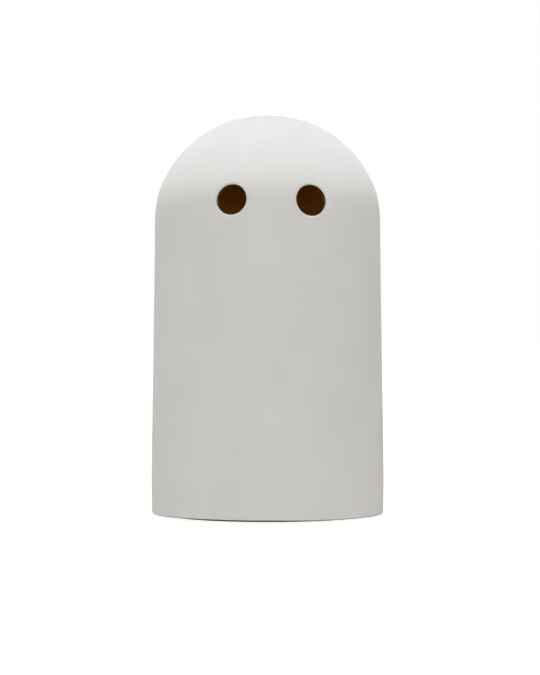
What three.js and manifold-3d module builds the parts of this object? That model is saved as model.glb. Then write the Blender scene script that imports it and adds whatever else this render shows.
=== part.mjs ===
// Ghost lamp: a ceramic ghost that lifts off a turned wooden base with three cells and six LEDs in it.
// Millimetres, +Z up. The origin is on the surface that the lamp stands on, on the lamp's axis.
// The ghost looks along -Y, and +X is on the viewer's right.

import * as THREE from "three";
import { mergeVertices } from "three/addons/utils/BufferGeometryUtils.js";
import Module from "manifold-3d";

const wasm = await Module();
wasm.setup();

// Gaps and facets
const gap = 0.3; // left between neighbouring pieces
const overcut = 1; // how far a cutting solid runs past the face that it cuts
const shellSides = 64;
const baseSides = 48;
const ringSides = 40;
const smallSides = 12;

// Ghost shell, outside
const shoulderRadius = 70.4; // where the dome starts
const shoulderHeight = 182.4;
const domeRise = 67.6;
const bodyFlare = 2.15; // how much wider the belly is than the shoulder
const bellyHeight = 27;
const rimTuck = 0.25; // how much narrower the rim is than the belly
const rimGap = 1.5; // from the surface up to the rim
const rimRound = 1.3;
const domeSteps = 9;
const rimSteps = 3;

// Ghost shell, wall and eyes
const shellWall = 4.5;
const eyeRadius = 9.5;
const eyeAzimuth = THREE.MathUtils.degToRad(20.5);
const eyeRise = 11.7; // eye centres above the shoulder
const eyeSides = 24;

// Cells and their contacts
const cellCount = 3;
const cellRadius = 7.25;
const cellLength = 50.5; // with its nub
const nubRadius = 2.75;
const nubLength = 1;
const cellSpacing = 0.7; // between neighbouring cells
const contactThickness = 0.5;
const contactWidth = 9;
const contactHeight = 12;
const tabWidth = 3;
const tabRise = 1.5; // above the ceiling of the compartment
const springLength = 4.6;
const springRadius = 3.4; // mean radius at the cell
const springFlare = 1.4; // how much wider it is at the contact
const springWire = 0.7; // wire diameter
const springTurns = 3;
const springSteps = 8; // in a turn
const springSides = 5;

// Felt, plinth and what keeps the shell on it
const feltThickness = 2;
const feltInset = 1.5; // inside edge of the felt, outside the plinth's ledge
const footInsetShare = 0.372; // of the width from the ledge's bore to the flange's edge
const ledgeWidthShare = 0.148; // of the width that ledge, drum and gasket have between them
const gasketWidthShare = 0.394;
const footHeight = 1;
const flangeSlope = 1.5;
const flangeThickness = 4.5;
const flangePlay = 1.8; // between the flange and the inside of the shell
const plinthEdge = 0.8; // chamfer
const ledgeThickness = 3;
const seatRingThickness = 1.5;
const seatSkirtHeight = 8;
const seatPlay = 1.5; // between the seat ring and the plinth
const gasketThickness = 1;
const gasketInset = 0.6; // from the flange's edge and from the drum
const magnetCount = 3;
const magnetMargin = 0.9; // between a magnet and the gasket's edges
const magnetThickness = 3;

// Module housing
const housingDrop = 0.4; // how far the underside stays above the felt's
const housingFloor = 4;
const housingWall = 2;
const bossWall = 0.6; // outside the bores of the hinge pin
const compartmentWall = 1.5;
const ceilingThickness = 2;
const cellPlay = 0.5;
const standoff = 2; // control board above the ceiling
const postRadius = 3;

// Battery door
const doorThickness = 2; // also the radius of its hinge knuckle
const doorOverlap = 1.8;
const pinRadius = 1;
const pinSeat = 2.7; // how far the pin reaches into each side of the housing
const notchRadius = 7;
const notchDepth = 1.2;

// Switch
const switchOffset = 5.5; // between the compartment and the switch body
const switchWidth = 8;
const switchLength = 18;
const switchHeight = 6;
const switchTravel = 5;
const knobLength = 4;
const knobWidth = 4;
const knobReach = 1.4; // below the housing
const stemWidth = 2;
const stemReach = 2; // into the switch body

// Control board
const boardLength = 40;
const boardWidth = 28;
const boardThickness = 1.6;
const boardScrewX = 16;
const boardScrewY = 10;
const chipSize = 8;
const chipThickness = 2;
const chipX = -8;
const boardHeadroom = 4.4; // from the board up to the top plate

// Screws, as shank radius, shank length, head radius and head height
const plateScrew = { shank: 1.45, length: 12, head: 2.5, headHeight: 1.8 };
const smallScrew = { shank: 1, length: 4, head: 1.9, headHeight: 1.3 };
const headCrown = 0.7; // flat top of a head, as a share of its radius
const plateScrewCount = 3;

// Top plate, LED board and diffuser
const plateThickness = 1.5;
const plateInset = 0.6; // inside the plinth's edge
const wireHoleRadius = 3;
const ledBoardRadius = 20;
const ledBoardThickness = 1.6;
const ledCount = 6;
const ledCircle = 13.5;
const ledSize = 3.5;
const ledHeight = 1.9;
const ledBoardScrewX = 16.5;
const diffuserRadius = 26;
const diffuserWall = 2;
const diffuserStraight = 12.5;
const diffuserFlange = 2;
const diffuserFlangeThickness = 1.5;
const diffuserSteps = 6;
const collarHeight = 6;
const collarWidth = 2.7;
const collarEdge = 1; // chamfer

// Leads
const leadRadius = 0.6;
const leadSteps = 12;
const leadSides = 6;

// Heights that follow, from the felt up
const footBottom = feltThickness;
const flangeBottom = footBottom + footHeight + flangeSlope;
const flangeTop = flangeBottom + flangeThickness;
const gasketTop = flangeTop + gasketThickness;
const seatBottom = gasketTop + gap;
const seatTop = seatBottom + seatSkirtHeight;
const ledgeTop = footBottom + ledgeThickness;
const housingBottom = footBottom + housingDrop;
const floorTop = Math.max(housingBottom + housingFloor, ledgeTop + overcut);
const doorTop = housingBottom + doorThickness;
const recessTop = doorTop + gap;
const cellAxisZ = recessTop + gap + cellRadius;
const ceilingBottom = cellAxisZ + cellRadius + cellPlay;
const ceilingTop = ceilingBottom + ceilingThickness;
const boardBottom = ceilingTop + standoff;
const boardTop = boardBottom + boardThickness;
const plinthTop = boardTop + boardHeadroom;
const plateTop = plinthTop + plateThickness;
const ledBoardTop = plateTop + ledBoardThickness;

// The battery compartment and its door, from the cells out
const cellPitch = 2 * cellRadius + cellSpacing;
const compartmentX = (cellCount - 1) / 2 * cellPitch + cellRadius + cellPlay;
const compartmentY = (cellLength + springLength + 3 * gap) / 2 + contactThickness;
const outerX = compartmentX + compartmentWall;
const outerY = compartmentY + compartmentWall;
const doorX = compartmentX + doorOverlap;
const doorFront = -compartmentY - doorOverlap;
const knuckleRadius = doorThickness;
const hingeY = outerY + gap + knuckleRadius;
const hingeZ = housingBottom + knuckleRadius;
const contactFace = compartmentY - contactThickness;
const pinHalf = doorX + pinSeat;
const switchX = outerX + switchOffset + switchWidth / 2;

// Radii that follow from the compartment outwards, up to the ledge's bore
const bossRadius = Math.hypot(pinHalf + gap, hingeY + pinRadius + gap) + bossWall;
const ledgeRadius = bossRadius + gap;

// Radii that follow from the shell inwards, down to the flange
const bellyRadius = shoulderRadius + bodyFlare;
const rimRadius = bellyRadius - rimTuck;
const innerRadius = Math.min(shellRadiusAt(rimGap + rimRound), shellRadiusAt(seatTop)) - shellWall;
const seatRingOuter = innerRadius - gap;
const flangeRadius = innerRadius - flangePlay;
const footRadius = flangeRadius - footInsetShare * (flangeRadius - ledgeRadius);

// Between the two, ledge and gasket have their shares, and the plinth's drum has the rest
const sharedWidth = flangeRadius - ledgeRadius - 2 * gasketInset;
const boreRadius = ledgeRadius + ledgeWidthShare * sharedWidth;
const housingRadius = boreRadius - gap;
const gasketWidth = gasketWidthShare * sharedWidth;
const gasketOuter = flangeRadius - gasketInset;
const gasketInner = gasketOuter - gasketWidth;
const magnetCircle = (gasketOuter + gasketInner) / 2;
const magnetRadius = gasketWidth / 2 - magnetMargin;
const drumRadius = gasketInner - gasketInset;
const seatRingInner = drumRadius + seatPlay;
const plateRadius = drumRadius - plateInset;
const plateScrewCircle = (boreRadius + plateRadius) / 2;

// Outer radius of the shell below the shoulder
function shellRadiusAt(z) {
  if (z < bellyHeight) {
    const share = (bellyHeight - z) / (bellyHeight - rimGap - rimRound);
    return bellyRadius - rimTuck * share;
  }
  return bellyRadius - bodyFlare * (z - bellyHeight) / (shoulderHeight - bellyHeight);
}

function at(r, z) {
  return new THREE.Vector2(r, z);
}

// Points of an elliptical quarter, from its equator to just short of the axis
function quarter(radius, rise, base, steps) {
  const points = [];
  for (let i = 0; i < steps; i += 1) {
    const angle = i / steps * Math.PI / 2;
    points.push(at(radius * Math.cos(angle), base + rise * Math.sin(angle)));
  }
  return points;
}

// Solid of revolution about Z, from a profile of radius and height that runs counterclockwise
function turned(profile, sides) {
  const geometry = new THREE.LatheGeometry(profile, sides);
  geometry.rotateX(Math.PI / 2);
  return geometry;
}

function disc(radius, bottom, top, sides) {
  return turned([at(0, bottom), at(radius, bottom), at(radius, top), at(0, top)], sides);
}

function ring(inner, outer, bottom, top, sides) {
  const profile = [at(inner, bottom), at(outer, bottom), at(outer, top), at(inner, top), at(inner, bottom)];
  return turned(profile, sides);
}

function block(x, y, z) {
  const geometry = new THREE.BoxGeometry(x[1] - x[0], y[1] - y[0], z[1] - z[0]);
  geometry.translate((x[0] + x[1]) / 2, (y[0] + y[1]) / 2, (z[0] + z[1]) / 2);
  return geometry;
}

function around(middle, half) {
  return [middle - half, middle + half];
}

// Rod along X
function rod(radius, halfLength, y, z, sides) {
  const geometry = new THREE.CylinderGeometry(radius, radius, 2 * halfLength, sides);
  geometry.rotateZ(Math.PI / 2);
  geometry.translate(0, y, z);
  return geometry;
}

function solid(geometry) {
  const bare = geometry.index ? geometry.toNonIndexed() : geometry.clone();
  bare.deleteAttribute("normal");
  bare.deleteAttribute("uv");
  const merged = mergeVertices(bare, 1e-4);
  const mesh = new wasm.Mesh({
    numProp: 3,
    vertProperties: merged.attributes.position.array,
    triVerts: new Uint32Array(merged.index.array),
  });
  return new wasm.Manifold(mesh);
}

function geometryOf(body) {
  const mesh = body.getMesh();
  const geometry = new THREE.BufferGeometry();
  geometry.setAttribute("position", new THREE.BufferAttribute(mesh.vertProperties, mesh.numProp));
  geometry.setIndex(new THREE.BufferAttribute(mesh.triVerts, 1));
  geometry.computeVertexNormals();
  return geometry;
}

function joined(geometries) {
  return geometries.map(solid).reduce((whole, part) => whole.add(part));
}

function cut(geometry, tools) {
  return geometryOf(tools.map(solid).reduce((body, tool) => body.subtract(tool), solid(geometry)));
}

function moved(geometry, x, y, z) {
  return geometry.clone().translate(x, y, z);
}

// Copies of one geometry, equally spaced on a circle about the lamp's axis
function onCircle(geometry, count, radius, start = 0) {
  const copies = [];
  for (let i = 0; i < count; i += 1) {
    const copy = geometry.clone();
    copy.translate(radius, 0, 0);
    copy.rotateZ(start + i / count * 2 * Math.PI);
    copies.push(copy);
  }
  return copies;
}

// Closed tube along a curve
function tube(path, radius, steps, sides) {
  const corners = [];
  for (let i = 0; i < sides; i += 1) {
    const angle = i / sides * 2 * Math.PI;
    corners.push(at(radius * Math.cos(angle), radius * Math.sin(angle)));
  }
  const section = new THREE.Shape(corners);
  return new THREE.ExtrudeGeometry(section, { extrudePath: path, steps, bevelEnabled: false });
}

// Insulated wire along a smooth curve through the given points
function lead(points) {
  const path = new THREE.CatmullRomCurve3(points.map(([x, y, z]) => new THREE.Vector3(x, y, z)));
  return tube(path, leadRadius, leadSteps, leadSides);
}

const lamp = new THREE.Group();

function add(name, geometry, colour, roughness, metalness = 0) {
  const material = new THREE.MeshStandardMaterial({ color: colour, roughness, metalness });
  const mesh = new THREE.Mesh(geometry, material);
  mesh.name = name;
  lamp.add(mesh);
  return mesh;
}

// The ghost: outside from the rim up, then the inside back down
function ghostShell() {
  const profile = [];
  for (let i = 0; i <= rimSteps; i += 1) {
    const angle = (i / rimSteps - 1) * Math.PI / 2;
    const r = rimRadius - rimRound + rimRound * Math.cos(angle);
    profile.push(at(r, rimGap + rimRound + rimRound * Math.sin(angle)));
  }
  profile.push(at(bellyRadius, bellyHeight));
  profile.push(...quarter(shoulderRadius, domeRise, shoulderHeight, domeSteps));
  profile.push(at(0, shoulderHeight + domeRise));
  profile.push(at(0, shoulderHeight + domeRise - shellWall));
  const inside = quarter(shoulderRadius - shellWall, domeRise - shellWall, shoulderHeight, domeSteps);
  profile.push(...inside.reverse());
  profile.push(at(bellyRadius - shellWall, bellyHeight));
  profile.push(at(rimRadius - shellWall, rimGap));
  profile.push(profile[0].clone());
  return cut(turned(profile, shellSides), [-eyeAzimuth, eyeAzimuth].map(eyeHole));
}

// A round hole along the surface's own normal at the eye's centre
function eyeHole(azimuth) {
  const radius = shoulderRadius * Math.sqrt(1 - (eyeRise / domeRise) ** 2);
  const tilt = Math.atan2(eyeRise / domeRise ** 2, radius / shoulderRadius ** 2);
  const geometry = new THREE.CylinderGeometry(eyeRadius, eyeRadius, 6 * shellWall, eyeSides);
  geometry.rotateX(-tilt);
  geometry.translate(0, -radius, shoulderHeight + eyeRise);
  geometry.rotateZ(azimuth);
  return geometry;
}

// Steel angle ring, bonded to the shell's inside: the skirt is glued and the flat part rests on the base
function seatRing() {
  const skirtInner = seatRingOuter - seatRingThickness;
  return turned([
    at(seatRingInner, seatBottom),
    at(seatRingOuter, seatBottom),
    at(seatRingOuter, seatTop),
    at(skirtInner, seatTop),
    at(skirtInner, seatBottom + seatRingThickness),
    at(seatRingInner, seatBottom + seatRingThickness),
    at(seatRingInner, seatBottom),
  ], baseSides);
}

function plinth() {
  const profile = [
    at(ledgeRadius, footBottom),
    at(footRadius, footBottom),
    at(footRadius, footBottom + footHeight),
    at(flangeRadius, flangeBottom),
    at(flangeRadius, flangeTop),
    at(drumRadius, flangeTop),
    at(drumRadius, plinthTop - plinthEdge),
    at(drumRadius - plinthEdge, plinthTop),
    at(boreRadius, plinthTop),
    at(boreRadius, ledgeTop),
    at(ledgeRadius, ledgeTop),
    at(ledgeRadius, footBottom),
  ];
  const pocket = disc(magnetRadius + gap, magnetBottom(), flangeTop + overcut, smallSides * 2);
  const pilotBottom = plateTop - plateScrew.length - overcut;
  const pilot = disc(plateScrew.shank + gap, pilotBottom, plinthTop + overcut, smallSides);
  return cut(turned(profile, baseSides), [
    ...onCircle(pocket, magnetCount, magnetCircle, Math.PI / 2),
    ...onCircle(pilot, plateScrewCount, plateScrewCircle, Math.PI / 2),
  ]);
}

function magnetBottom() {
  return gasketTop - gap - magnetThickness;
}

function gasketRing() {
  const hole = disc(magnetRadius + gap, flangeTop - overcut, gasketTop + overcut, smallSides * 2);
  const body = ring(gasketInner, gasketOuter, flangeTop, gasketTop, baseSides);
  return cut(body, onCircle(hole, magnetCount, magnetCircle, Math.PI / 2));
}

// Tub with a stepped underside, open on top; the compartment for the cells opens downwards
function moduleHousing() {
  const tub = turned([
    at(0, housingBottom),
    at(bossRadius, housingBottom),
    at(bossRadius, ledgeTop),
    at(housingRadius, ledgeTop),
    at(housingRadius, plinthTop - gap),
    at(housingRadius - housingWall, plinthTop - gap),
    at(housingRadius - housingWall, floorTop),
    at(0, floorTop),
  ], baseSides);
  const sunk = floorTop - overcut;
  const hingeTop = hingeZ + knuckleRadius + gap;
  const hingeBack = hingeY + knuckleRadius + gap;
  const posts = [-1, 1].map((side) => {
    const post = disc(postRadius, ceilingTop - overcut, boardBottom, smallSides);
    return moved(post, side * boardScrewX, side * boardScrewY, 0);
  });
  const body = joined([
    tub,
    block([-outerX, outerX], [-outerY, outerY], [sunk, ceilingTop]),
    block([-pinHalf, pinHalf], [outerY - overcut, hingeBack + compartmentWall],
      [sunk, hingeTop + compartmentWall]),
    ...posts,
  ]);
  const below = housingBottom - overcut;
  const tabY = compartmentY - contactThickness / 2;
  const tabHalf = contactThickness / 2 + gap;
  const slotTop = ceilingTop + overcut;
  const tools = [
    block([-compartmentX, compartmentX], [-compartmentY, compartmentY], [below, ceilingBottom]),
    block([-doorX - gap, doorX + gap], [doorFront - gap, hingeBack], [below, recessTop]),
    block([-doorX - gap, doorX + gap], [outerY, hingeBack], [below, hingeTop]),
    rod(pinRadius + gap, pinHalf + gap, hingeY, hingeZ, smallSides),
    moved(disc(notchRadius, below, housingBottom + notchDepth, smallSides * 2), 0, doorFront, 0),
    block(around(switchX, knobWidth / 2 + gap), around(0, knobLength / 2 + switchTravel / 2 + gap),
      [below, floorTop + overcut]),
    block(around(cellX(2), tabWidth / 2 + gap), around(-tabY, tabHalf), [ceilingBottom - overcut, slotTop]),
    block(around(cellX(0), tabWidth / 2 + gap), around(tabY, tabHalf), [ceilingBottom - overcut, slotTop]),
    ...[-1, 1].map((side) => {
      const depth = smallScrew.length + gap;
      const pilot = disc(smallScrew.shank + gap, boardTop - depth, boardTop, smallSides);
      return moved(pilot, side * boardScrewX, side * boardScrewY, 0);
    }),
  ];
  return geometryOf(tools.map(solid).reduce((whole, tool) => whole.subtract(tool), body));
}

function cellX(index) {
  return (index - (cellCount - 1) / 2) * cellPitch;
}

// The first and third cell have their springs at the back, the middle one has its spring in front
function springSide(index) {
  return index % 2 ? -1 : 1;
}

// A cell as a turned body, laid along Y with its nub away from its spring
function cell(index) {
  const profile = [
    at(0, 0),
    at(cellRadius, 0),
    at(cellRadius, cellLength - nubLength),
    at(nubRadius, cellLength - nubLength),
    at(nubRadius, cellLength),
    at(0, cellLength),
  ];
  const side = springSide(index);
  const geometry = turned(profile, smallSides * 2);
  geometry.rotateX(side * Math.PI / 2);
  geometry.translate(cellX(index), side * (contactFace - 2 * gap - springLength), cellAxisZ);
  return geometry;
}

class SpringCurve extends THREE.Curve {
  // Conical helix, wide at the contact
  getPoint(t, target = new THREE.Vector3()) {
    const angle = t * springTurns * 2 * Math.PI;
    const radius = springRadius + springFlare * (1 - t);
    const rise = springWire / 2 + t * (springLength - springWire);
    return target.set(radius * Math.cos(angle), radius * Math.sin(angle), rise);
  }
}

function spring(index) {
  const geometry = tube(new SpringCurve(), springWire / 2, springTurns * springSteps, springSides);
  const side = springSide(index);
  geometry.rotateX(side * Math.PI / 2);
  geometry.translate(cellX(index), side * (contactFace - gap), cellAxisZ);
  return geometry;
}

// Least gap between neighbouring turns of a contact spring, measured on points of its centre line
function springGap() {
  const curve = new SpringCurve();
  const samplesInTurn = 60;
  const samples = springTurns * samplesInTurn;
  const points = Array.from({ length: samples + 1 }, (_, i) => curve.getPoint(i / samples));
  let least = Infinity;
  for (let i = 0; i <= samples; i += 1) {
    for (let j = i + samplesInTurn / 2; j <= samples; j += 1) {
      least = Math.min(least, points[i].distanceTo(points[j]) - springWire);
    }
  }
  return least;
}

// Sheet contact at one end of the compartment; side is -1 in front and 1 at the back
function contact(fromX, toX, side, tabX) {
  const y = side < 0 ? [-compartmentY, -contactFace] : [contactFace, compartmentY];
  const low = cellAxisZ - contactHeight / 2;
  const high = cellAxisZ + contactHeight / 2;
  const sheet = block([fromX - contactWidth / 2, toX + contactWidth / 2], y, [low, high]);
  if (tabX === undefined) {
    return sheet;
  }
  const tab = block(around(tabX, tabWidth / 2), y, [high - overcut, ceilingTop + tabRise]);
  return geometryOf(joined([sheet, tab]));
}

// Flat door with a round edge about the hinge pin
function batteryDoor() {
  const top = hingeZ;
  const plate = block([-doorX, doorX], [doorFront, hingeY], [housingBottom, top]);
  const knuckle = rod(knuckleRadius, doorX, hingeY, hingeZ, smallSides * 2);
  const pinHole = rod(pinRadius + gap, doorX + overcut, hingeY, hingeZ, smallSides);
  return geometryOf(joined([plate, knuckle]).subtract(solid(pinHole)));
}

function switchBody() {
  const body = block(around(switchX, switchWidth / 2), around(0, switchLength / 2),
    [floorTop, floorTop + switchHeight]);
  const slot = block(around(switchX, stemWidth / 2 + gap), around(0, stemWidth / 2 + switchTravel / 2 + gap),
    [floorTop - overcut, floorTop + stemReach + gap]);
  return cut(body, [slot]);
}

// The knob rests at the front end of its travel, which is off
function switchKnob() {
  const y = -switchTravel / 2;
  const knob = block(around(switchX, knobWidth / 2), around(y, knobLength / 2),
    [housingBottom - knobReach, floorTop - gap]);
  const stem = block(around(switchX, stemWidth / 2), around(y, stemWidth / 2),
    [floorTop - gap - overcut, floorTop + stemReach]);
  return geometryOf(joined([knob, stem]));
}

// Screw with its head's underside at the given height
function screw(size, seat) {
  return turned([
    at(0, seat - size.length),
    at(size.shank, seat - size.length),
    at(size.shank, seat),
    at(size.head, seat),
    at(size.head, seat + size.headHeight / 2),
    at(size.head * headCrown, seat + size.headHeight),
    at(0, seat + size.headHeight),
  ], smallSides);
}

function controlBoard() {
  const board = block([-boardLength / 2, boardLength / 2], [-boardWidth / 2, boardWidth / 2],
    [boardBottom, boardTop]);
  const hole = disc(smallScrew.shank + gap, boardBottom - overcut, boardTop + overcut, smallSides);
  return cut(board, [-1, 1].map((side) => moved(hole, side * boardScrewX, side * boardScrewY, 0)));
}

function topPlate() {
  const below = plinthTop - overcut;
  const above = plateTop + overcut;
  const wireHole = disc(wireHoleRadius, below, above, smallSides * 2);
  const plateHole = disc(plateScrew.shank + gap, below, above, smallSides);
  const ledHole = disc(smallScrew.shank + gap, below, above, smallSides);
  return cut(disc(plateRadius, plinthTop, plateTop, baseSides), [
    wireHole,
    ...onCircle(plateHole, plateScrewCount, plateScrewCircle, Math.PI / 2),
    moved(ledHole, -ledBoardScrewX, 0, 0),
    moved(ledHole, ledBoardScrewX, 0, 0),
  ]);
}

function ledBoard() {
  const below = plateTop - overcut;
  const above = ledBoardTop + overcut;
  const hole = disc(smallScrew.shank + gap, below, above, smallSides);
  return cut(disc(ledBoardRadius, plateTop, ledBoardTop, ringSides), [
    disc(wireHoleRadius, below, above, smallSides * 2),
    moved(hole, -ledBoardScrewX, 0, 0),
    moved(hole, ledBoardScrewX, 0, 0),
  ]);
}

function diffuserDome() {
  const flangeTopZ = plateTop + diffuserFlangeThickness;
  const base = plateTop + diffuserStraight;
  const inner = diffuserRadius - diffuserWall;
  return turned([
    at(inner, plateTop),
    at(diffuserRadius + diffuserFlange, plateTop),
    at(diffuserRadius + diffuserFlange, flangeTopZ),
    at(diffuserRadius, flangeTopZ),
    ...quarter(diffuserRadius, diffuserRadius, base, diffuserSteps),
    at(0, base + diffuserRadius),
    at(0, base + inner),
    ...quarter(inner, inner, base, diffuserSteps).reverse(),
    at(inner, plateTop),
  ], ringSides);
}

// Ring that clamps the dome's flange to the plate
function diffuserCollar() {
  const stepZ = plateTop + diffuserFlangeThickness + gap;
  const wide = diffuserRadius + diffuserFlange + gap;
  const narrow = diffuserRadius + gap;
  return turned([
    at(wide, plateTop),
    at(wide + collarWidth, plateTop),
    at(wide + collarWidth, plateTop + collarHeight - collarEdge),
    at(wide + collarWidth - collarEdge, plateTop + collarHeight),
    at(narrow, plateTop + collarHeight),
    at(narrow, stepZ),
    at(wide, stepZ),
    at(wide, plateTop),
  ], ringSides);
}

add("ghost_shell", ghostShell(), 0xdcdad6, 0.6);
add("seat_ring", seatRing(), 0x9a9c9e, 0.35, 1);

const feltInner = ledgeRadius + feltInset;
add("felt_pad", ring(feltInner, footRadius, 0, feltThickness, baseSides), 0x4a3827, 0.95);
add("plinth", plinth(), 0x5c4030, 0.55);
add("gasket_ring", gasketRing(), 0x3a3835, 0.7);
const magnet = disc(magnetRadius, magnetBottom(), gasketTop - gap, smallSides * 2);
onCircle(magnet, magnetCount, magnetCircle, Math.PI / 2).forEach((geometry, i) => {
  add(`magnet_${i + 1}`, geometry, 0xc8c9cc, 0.25, 1);
});
add("module_housing", moduleHousing(), 0x33302d, 0.55);

for (let i = 0; i < cellCount; i += 1) {
  add(`battery_cell_${i + 1}`, cell(i), 0x6f7376, 0.4);
  add(`contact_spring_${i + 1}`, spring(i), 0xc0c2c4, 0.3, 1);
}
add("contact_positive", contact(cellX(2), cellX(2), -1, cellX(2)), 0xc0c2c4, 0.3, 1);
add("contact_negative", contact(cellX(0), cellX(0), 1, cellX(0)), 0xc0c2c4, 0.3, 1);
add("contact_bridge_front", contact(cellX(0), cellX(1), -1), 0xc0c2c4, 0.3, 1);
add("contact_bridge_back", contact(cellX(1), cellX(2), 1), 0xc0c2c4, 0.3, 1);

add("switch_body", switchBody(), 0x2a2a2a, 0.5);
add("control_board", controlBoard(), 0x2f5a3a, 0.5);
const chipHeights = [boardTop, boardTop + chipThickness];
add("timer_chip", block(around(chipX, chipSize / 2), around(0, chipSize / 2), chipHeights), 0x1c1c1e, 0.4);
[-1, 1].forEach((side, i) => {
  const geometry = moved(screw(smallScrew, boardTop), side * boardScrewX, side * boardScrewY, 0);
  add(`control_board_screw_${i + 1}`, geometry, 0xb8babc, 0.3, 1);
});

// Leads start and end one gap clear of the tabs and pads that they are soldered to
const padZ = boardTop + gap + leadRadius;
const tabTop = ceilingTop + tabRise + gap;
const tabCentre = compartmentY - contactThickness / 2;
const switchTop = floorTop + switchHeight + gap;
const wireX = wireHoleRadius / 2 - gap;
add("battery_lead_red", lead([
  [cellX(2), -tabCentre, tabTop],
  [cellX(2) + 2, -tabCentre, tabTop + 1.5],
  [switchX - 6, -switchLength, tabTop - 3],
  [switchX, -switchLength / 3, switchTop + 3],
  [switchX, -switchLength / 3, switchTop],
]), 0xa02a22, 0.5);
add("switch_lead", lead([
  [switchX, switchLength / 3, switchTop],
  [switchX, switchLength / 3, switchTop + 3],
  [switchX - 4, switchLength / 3, boardTop - 1],
  [boardLength / 2 + 3, switchLength / 3, padZ + 1],
  [boardLength / 2 - 2, switchLength / 3, padZ],
]), 0xa02a22, 0.5);
add("battery_lead_black", lead([
  [cellX(0), tabCentre, tabTop],
  [cellX(0), tabCentre - 2, tabTop + 1.5],
  [cellX(0), boardWidth / 2 + 4, padZ + 1],
  [cellX(0), boardWidth / 2 - 2, padZ],
]), 0x1b1b1b, 0.5);

add("top_plate", topPlate(), 0x8a6a3c, 0.4, 1);
const topScrews = onCircle(screw(plateScrew, plateTop), plateScrewCount, plateScrewCircle, Math.PI / 2);
topScrews.forEach((geometry, i) => {
  add(`top_plate_screw_${i + 1}`, geometry, 0xb8babc, 0.3, 1);
});
add("led_board", ledBoard(), 0xe8e8e4, 0.5);
const led = block(around(0, ledSize / 2), around(0, ledSize / 2), [ledBoardTop, ledBoardTop + ledHeight]);
onCircle(led, ledCount, ledCircle, Math.PI / ledCount).forEach((geometry, i) => {
  add(`led_${i + 1}`, geometry, 0xf0d890, 0.3);
});
[-1, 1].forEach((side, i) => {
  const geometry = moved(screw(smallScrew, ledBoardTop), side * ledBoardScrewX, 0, 0);
  add(`led_board_screw_${i + 1}`, geometry, 0xb8babc, 0.3, 1);
});
[-1, 1].forEach((side) => {
  const name = side < 0 ? "led_lead_black" : "led_lead_red";
  const ledPadZ = ledBoardTop + gap + leadRadius;
  add(name, lead([
    [side * boardLength / 8, -boardWidth / 3, padZ],
    [side * boardLength / 9, -boardWidth / 4, (padZ + plinthTop) / 2],
    [side * wireX, -wireX, plinthTop - leadRadius],
    [side * wireX, 0, plateTop],
    [side * (wireX + 0.5), 0, ledPadZ + 0.6],
    [side * (wireHoleRadius + 2), 0, ledPadZ],
  ]), side < 0 ? 0x1b1b1b : 0xa02a22, 0.5);
});
add("diffuser_collar", diffuserCollar(), 0x8a6a3c, 0.4, 1);
add("diffuser_dome", diffuserDome(), 0xf4efe4, 0.35);

add("door_hinge_pin", rod(pinRadius, pinHalf, hingeY, hingeZ, smallSides), 0xb0b2b4, 0.3, 1);
add("battery_door", batteryDoor(), 0x33302d, 0.55);
add("switch_knob", switchKnob(), 0xd8d6d0, 0.5);

console.log(`least gap between turns of a contact spring: ${springGap().toFixed(2)} mm`);

export default lamp;
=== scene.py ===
# %% [markdown]
# # A ceramic ghost lamp
# The lamp is a white slip-cast ghost with two round eyes. It stands on a low turned base that holds three
# cells, a switch and six LEDs under an opal dome. The CAD frame already has every solid in its place, so
# this lesson gives each one the shape and finish that the eye expects, and leaves the places alone.
# All sizes below are in millimetres, and one helper turns them into Blender's metres.

# %% Load the fixed frame
import math

import bmesh
import bpy
from mathutils import Matrix, Vector, noise


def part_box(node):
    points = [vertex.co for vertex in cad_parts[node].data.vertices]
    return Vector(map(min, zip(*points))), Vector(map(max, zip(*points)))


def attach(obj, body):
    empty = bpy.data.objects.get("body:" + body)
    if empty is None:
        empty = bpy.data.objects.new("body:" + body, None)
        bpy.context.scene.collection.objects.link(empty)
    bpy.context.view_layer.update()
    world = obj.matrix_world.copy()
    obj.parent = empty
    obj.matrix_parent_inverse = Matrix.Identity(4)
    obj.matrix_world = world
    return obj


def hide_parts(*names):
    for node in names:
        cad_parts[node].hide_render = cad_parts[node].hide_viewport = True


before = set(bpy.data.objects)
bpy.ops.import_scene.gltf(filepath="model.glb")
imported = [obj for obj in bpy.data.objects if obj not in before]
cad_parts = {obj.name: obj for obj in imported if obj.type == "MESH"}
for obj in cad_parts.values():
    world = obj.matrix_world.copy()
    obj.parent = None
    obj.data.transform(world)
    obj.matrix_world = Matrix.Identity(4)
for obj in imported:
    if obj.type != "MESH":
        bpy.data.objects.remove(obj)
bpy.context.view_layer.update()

MM = 0.001

# %% [markdown]
# ## The camera
# The photograph looks straight at the ghost, from about a metre and a half away and a little below the
# middle of its height. A long lens keeps the sides of the body almost parallel. The camera is level, so
# the verticals stay upright, and a tiny shift sideways puts the lamp where the photograph has it.

# %% Camera
EYE_LINE = 111.17  # height of the lens above the table
DISTANCE = 1578.0  # from the lamp's axis
SWING = math.radians(-2.0)  # the lens is this far to the left of the ghost's own front
SENSOR, FOCAL_LENGTH = 36, 134.52
SHIFT = 0.00356  # sideways, as a share of the frame's longer side


def place_camera():
    camera = bpy.data.objects.new("camera", bpy.data.cameras.new("camera"))
    bpy.context.scene.collection.objects.link(camera)
    camera.location = Vector((math.sin(SWING), -math.cos(SWING), 0)) * DISTANCE * MM
    camera.location.z = EYE_LINE * MM
    camera.rotation_euler = (math.pi / 2, 0, SWING)
    camera.data.sensor_width = SENSOR
    camera.data.lens = FOCAL_LENGTH
    camera.data.shift_x = SHIFT
    camera.data.clip_end = 50
    bpy.context.scene.camera = camera
    return camera


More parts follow.
